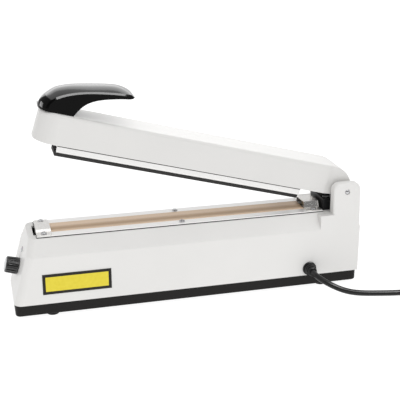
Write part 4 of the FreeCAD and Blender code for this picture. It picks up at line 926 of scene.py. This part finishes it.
# Arm: a long moulded cover, open below, that turns on the pin between the ears.
# Its plastic has the fine grain of a spark-eroded mould, and is a shade greyer than the enamel as painted
# shade for its sides, which lie darker than the base's walls.
MOULD_MM = 1.1
# The arm's colour is set a shade greyer than the enamel: painted shade for its darker sides.
arm_plastic_painted_shade = off_white_finish("moulded_off_white_plastic_painted_shade", MOULD_MM, ("#d8d7d5", "#dfdedc"))
dress(arm_plastic_painted_shade, "arm_housing")

# Hinge pin: a steel rivet through both ears and the arm's tail, its two ends domed over.
# It is nickelled, so each head shows as a small bright spot with a dark rim.
PIN_AXIS = Vector((0.19647, 0, 0.12))
PIN_HALF = 0.0406
PIN_PROFILE = [
    (0, 0.4), (0.2, 1.3), (0.6, 2.2), (1.1, 2.8), (1.6, 3.1), (1.6, 2.5), (79.6, 2.5), (79.6, 3.1),
    (80.1, 2.8), (80.6, 2.2), (81.0, 1.3), (81.2, 0.4),
]
turned(PIN_AXIS + Vector((0, PIN_HALF, 0)), (0, -1, 0), PIN_PROFILE, sides=32)
pin = settle("domed_hinge_pin", "base", "plated_steel", nickel)
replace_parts(pin, "hinge_pin")

# Pressing bar: a drawn aluminium bar on two posts inside the arm.
# A thin black strip along each of its sides is painted shade, standing for the dark line of shadow just
# under the arm's skirt.
dress(drawn, "pressing_bar", "bar_posts")
ARM_ANGLE = math.radians(14.7)
BAR_HALF = 0.0155
BAR_FROM = -0.350
BAR_TO = -0.050
# Two thin black strips on the bar's sides: painted shade for the shadow under the skirt.
SHADE_STRIP_LOW = -0.0136
SHADE_STRIP_HIGH = -0.0124
SHADE_STRIP_PROUD = 0.0002
SHADE_STRIP_EDGE = 0.00008
block((BAR_FROM, -SHADE_STRIP_PROUD / 2, SHADE_STRIP_LOW), (BAR_TO, SHADE_STRIP_PROUD / 2, SHADE_STRIP_HIGH))
soften(SHADE_STRIP_EDGE)
shade_strip = bpy.context.object
for name, side in (("front_bar_painted_shade", -1), ("back_bar_painted_shade", 1)):
    copy = copy_of(shade_strip)
    copy.location = PIN_AXIS + Vector((0, side * (BAR_HALF + SHADE_STRIP_PROUD / 2), 0))
    copy.rotation_euler = (0, ARM_ANGLE, 0)
    settle(name, "arm", "rubber_black", rubber)
bpy.data.objects.remove(shade_strip)

# Silicone strip: a soft black strip pressed in the bar's groove, which bears on the cover strip.
# Its lower edges are rounded by the mould; the silicone is a matt charcoal, paler than the feet.
SILICONE_GRAIN_MM = 1.5
silicone = grained_finish(
    "moulded_silicone",
    SILICONE_GRAIN_MM,
    detail=3.0,
    colours=("#2b2a29", "#3b3a39"),
    shader={"Roughness": 0.7, "Specular IOR Level": 0.3},
)
STRIP_FROM = -0.3515
STRIP_TO = -0.0515
STRIP_HALF = 0.0154
STRIP_LOW = -0.0247
STRIP_HIGH = -0.0202
STRIP_ROUND = 0.0005
STRIP_EDGE = 0.0002
NEAR_LOW = STRIP_LOW + 0.001
block((STRIP_FROM, -STRIP_HALF, STRIP_LOW), (STRIP_TO, STRIP_HALF, STRIP_HIGH))
pick_edges(lambda first, second: first.z < NEAR_LOW and second.z < NEAR_LOW)
bpy.ops.mesh.bevel(offset=STRIP_ROUND, segments=4)
soften(STRIP_EDGE)
bpy.context.object.location = PIN_AXIS
bpy.context.object.rotation_euler = (0, ARM_ANGLE, 0)
strip = settle("silicone_pad", "arm", "rubber_black", silicone)
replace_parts(strip, "silicone_strip")

# Handle: a moulded grip over the arm's nose, its top swept up to a crest and held by two screws.
# The plastic is black and polished, so its broad top mirrors the room as a pale sweep.
dress(zinc, "handle_screws")
HANDLING_MM = 18.0
polished = grained_finish(
    "polished_black_plastic",
    HANDLING_MM,
    detail=3.0,
    colours=("#050505", "#0a0a0a"),
    roughness=(0.07, 0.12),
    shader={"Specular IOR Level": 0.08},
)
dress(polished, "handle")

# Studio: a pale floor that meets a white backdrop, and two soft boxes over the machine.
# The floor glows a little of its own, so it stays white and keeps just the contact shadow.
# Small fills and cards light single pieces, and the cards show in nothing but their gloss.
FLOOR_HALF = 6.0
FLOOR_GLOW_SHARE = 0.7
FLOOR_GLOW = 1.35
FLOOR_MOTTLE_MM = 40.0
bpy.ops.object.select_all(action="DESELECT")
bpy.ops.mesh.primitive_plane_add(size=2 * FLOOR_HALF, location=(0, 0, 0))
floor = bpy.context.object
floor.name = "studio_floor"
white_floor, tree, place = blank_finish("white_studio_floor")
mottle = node(
    tree,
    "ShaderNodeTexNoise",
    {"Vector": place},
    {"Scale": 1000 / FLOOR_MOTTLE_MM, "Detail": 2.0},
)
colour = node(
    tree,
    "ShaderNodeMix",
    {0: mottle.outputs["Fac"]},
    {6: linear("#f2f2f2"), 7: linear("#f5f5f5")},
    data_type="RGBA",
)
matt = node(tree, "ShaderNodeBsdfDiffuse", {"Color": colour.outputs[2]})
glow = node(tree, "ShaderNodeEmission", None, {"Strength": FLOOR_GLOW})
both = node(
    tree,
    "ShaderNodeMixShader",
    {1: matt.outputs["BSDF"], 2: glow.outputs["Emission"]},
    {0: FLOOR_GLOW_SHARE},
)
node(tree, "ShaderNodeOutputMaterial", {"Surface": both.outputs["Shader"]})
floor.data.materials.append(white_floor)

# The camera sees the backdrop at full white; the gloss sees a room that is darker before the machine.
ROOM_STRENGTH = 0.74
BACKDROP_STRENGTH = 1.0
NEAR_SIDE_SHARE = 0.12
FAR_SIDE_SHARE = 1.12
NEAR_SIDE_FROM = -0.95
NEAR_SIDE_TO = -0.35
world = bpy.data.worlds.new("white_room")
world.use_nodes = True
bpy.context.scene.world = world
tree = world.node_tree
tree.nodes.clear()
ray = node(tree, "ShaderNodeLightPath")
seen = node(
    tree,
    "ShaderNodeMath",
    {0: ray.outputs["Is Camera Ray"], 1: ray.outputs["Is Transmission Ray"]},
    operation="MAXIMUM",
)
sight = node(tree, "ShaderNodeTexCoord")
facing = node(tree, "ShaderNodeSeparateXYZ", {"Vector": sight.outputs["Generated"]})
dim_side = node(
    tree,
    "ShaderNodeMapRange",
    {"Value": facing.outputs["Y"]},
    {
        "From Min": NEAR_SIDE_FROM,
        "From Max": NEAR_SIDE_TO,
        "To Min": NEAR_SIDE_SHARE,
        "To Max": FAR_SIDE_SHARE,
    },
    interpolation_type="SMOOTHSTEP",
)
mirrored = node(
    tree,
    "ShaderNodeMix",
    {0: ray.outputs["Is Glossy Ray"], 3: dim_side.outputs["Result"]},
    {2: 1.0},
)
room = node(tree, "ShaderNodeMath", {0: mirrored.outputs[0]}, {1: ROOM_STRENGTH}, operation="MULTIPLY")
strength = node(
    tree,
    "ShaderNodeMix",
    {0: seen.outputs["Value"], 2: room.outputs["Value"]},
    {3: BACKDROP_STRENGTH},
)
backdrop = node(
    tree,
    "ShaderNodeBackground",
    {"Strength": strength.outputs[0]},
    {"Color": (1.0, 1.0, 1.0, 1.0)},
)
node(tree, "ShaderNodeOutputWorld", {"Surface": backdrop.outputs["Background"]})


def soft_box(name, place, target, wide, tall, power):
    """A studio lamp of a width and height in metres, aimed at a point of the object."""
    lamp = bpy.data.lights.new(name, "AREA")
    lamp.shape = "RECTANGLE"
    lamp.size = wide
    lamp.size_y = tall
    lamp.energy = power
    box = bpy.data.objects.new(name, lamp)
    bpy.context.scene.collection.objects.link(box)
    box.location = place
    box.rotation_euler = (Vector(target) - Vector(place)).to_track_quat("-Z", "Y").to_euler()
    return box


def lit_only(boxes, name, *pieces):
    """Lets lamps light nothing but some pieces."""
    receivers = bpy.data.collections.new(name)
    for piece in pieces:
        receivers.objects.link(piece)
    for box in boxes:
        box.light_linking.receiver_collection = receivers


MACHINE_MIDDLE = (0, 0, 0.1)
ARM_MIDDLE = (0, 0, 0.15)
DECK_MIDDLE = (0.08, 0, 0.095)
HANDLE_MIDDLE = (-0.11, 0, 0.25)
LEAD_BEND = (0.2, -0.08, 0.01)
soft_box("key_box", (0.4, -1.1, 1.7), MACHINE_MIDDLE, wide=1.6, tall=1.6, power=7.6)
soft_box("top_box", (0.4, 0.3, 1.9), MACHINE_MIDDLE, wide=2.4, tall=2.4, power=5.0)
arm_fill = soft_box("arm_fill", (0.5, 1.4, 1.0), ARM_MIDDLE, wide=1.2, tall=1.2, power=8.0)
lit_only([arm_fill], "arm_shell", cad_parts["arm_housing"])
deck_fill = soft_box("deck_fill", (0.22, -0.45, 0.3), DECK_MIDDLE, wide=0.3, tall=0.3, power=1.7)
deck_fill.visible_camera = False
deck_fill.visible_glossy = False
deck_nodes = [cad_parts[name] for name in ("sealing_rail", "end_clip_left", "end_clip_right")]
lit_only([deck_fill], "deck_parts", cover, *deck_nodes)
cards = [
    soft_box("back_card", (0.05, 1.15, 0.9), HANDLE_MIDDLE, wide=2.0, tall=2.0, power=74.0),
    soft_box("over_card", (0.0, 0.5, 1.75), HANDLE_MIDDLE, wide=2.6, tall=2.6, power=157.0),
    soft_box("rim_strip", (0.04, -0.84, 1.09), HANDLE_MIDDLE, wide=1.0, tall=0.26, power=42.0),
    soft_box("nose_card", (-1.1, 0.36, 0.4), HANDLE_MIDDLE, wide=0.5, tall=0.5, power=13.0),
]
lit_only(cards, "polished_parts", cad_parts["handle"])
streak_strip = soft_box("streak_strip", (0.65, -0.6, 1.05), LEAD_BEND, wide=1.0, tall=0.5, power=20.0)
lit_only([streak_strip], "satin_parts", lead, bush, knob)
for card in [*cards, streak_strip]:
    card.visible_diffuse = False

# Camera: the photo's own view point, worked out from the machine's long edges.
# It looks down at the machine from the front left.
PHOTO_DIP = math.radians(19.737)
PHOTO_TURN = math.radians(-14.611)
lens_data = bpy.data.cameras.new("photo_camera")
lens_data.lens = 82.4
lens_data.sensor_width = 36.0
camera = bpy.data.objects.new("photo_camera", lens_data)
bpy.context.scene.collection.objects.link(camera)
camera.location = (-0.23875, -1.0032, 0.4839)
camera.rotation_euler = (math.pi / 2 - PHOTO_DIP, 0, PHOTO_TURN)
bpy.context.scene.camera = camera
bpy.context.scene.view_settings.view_transform = "Standard"
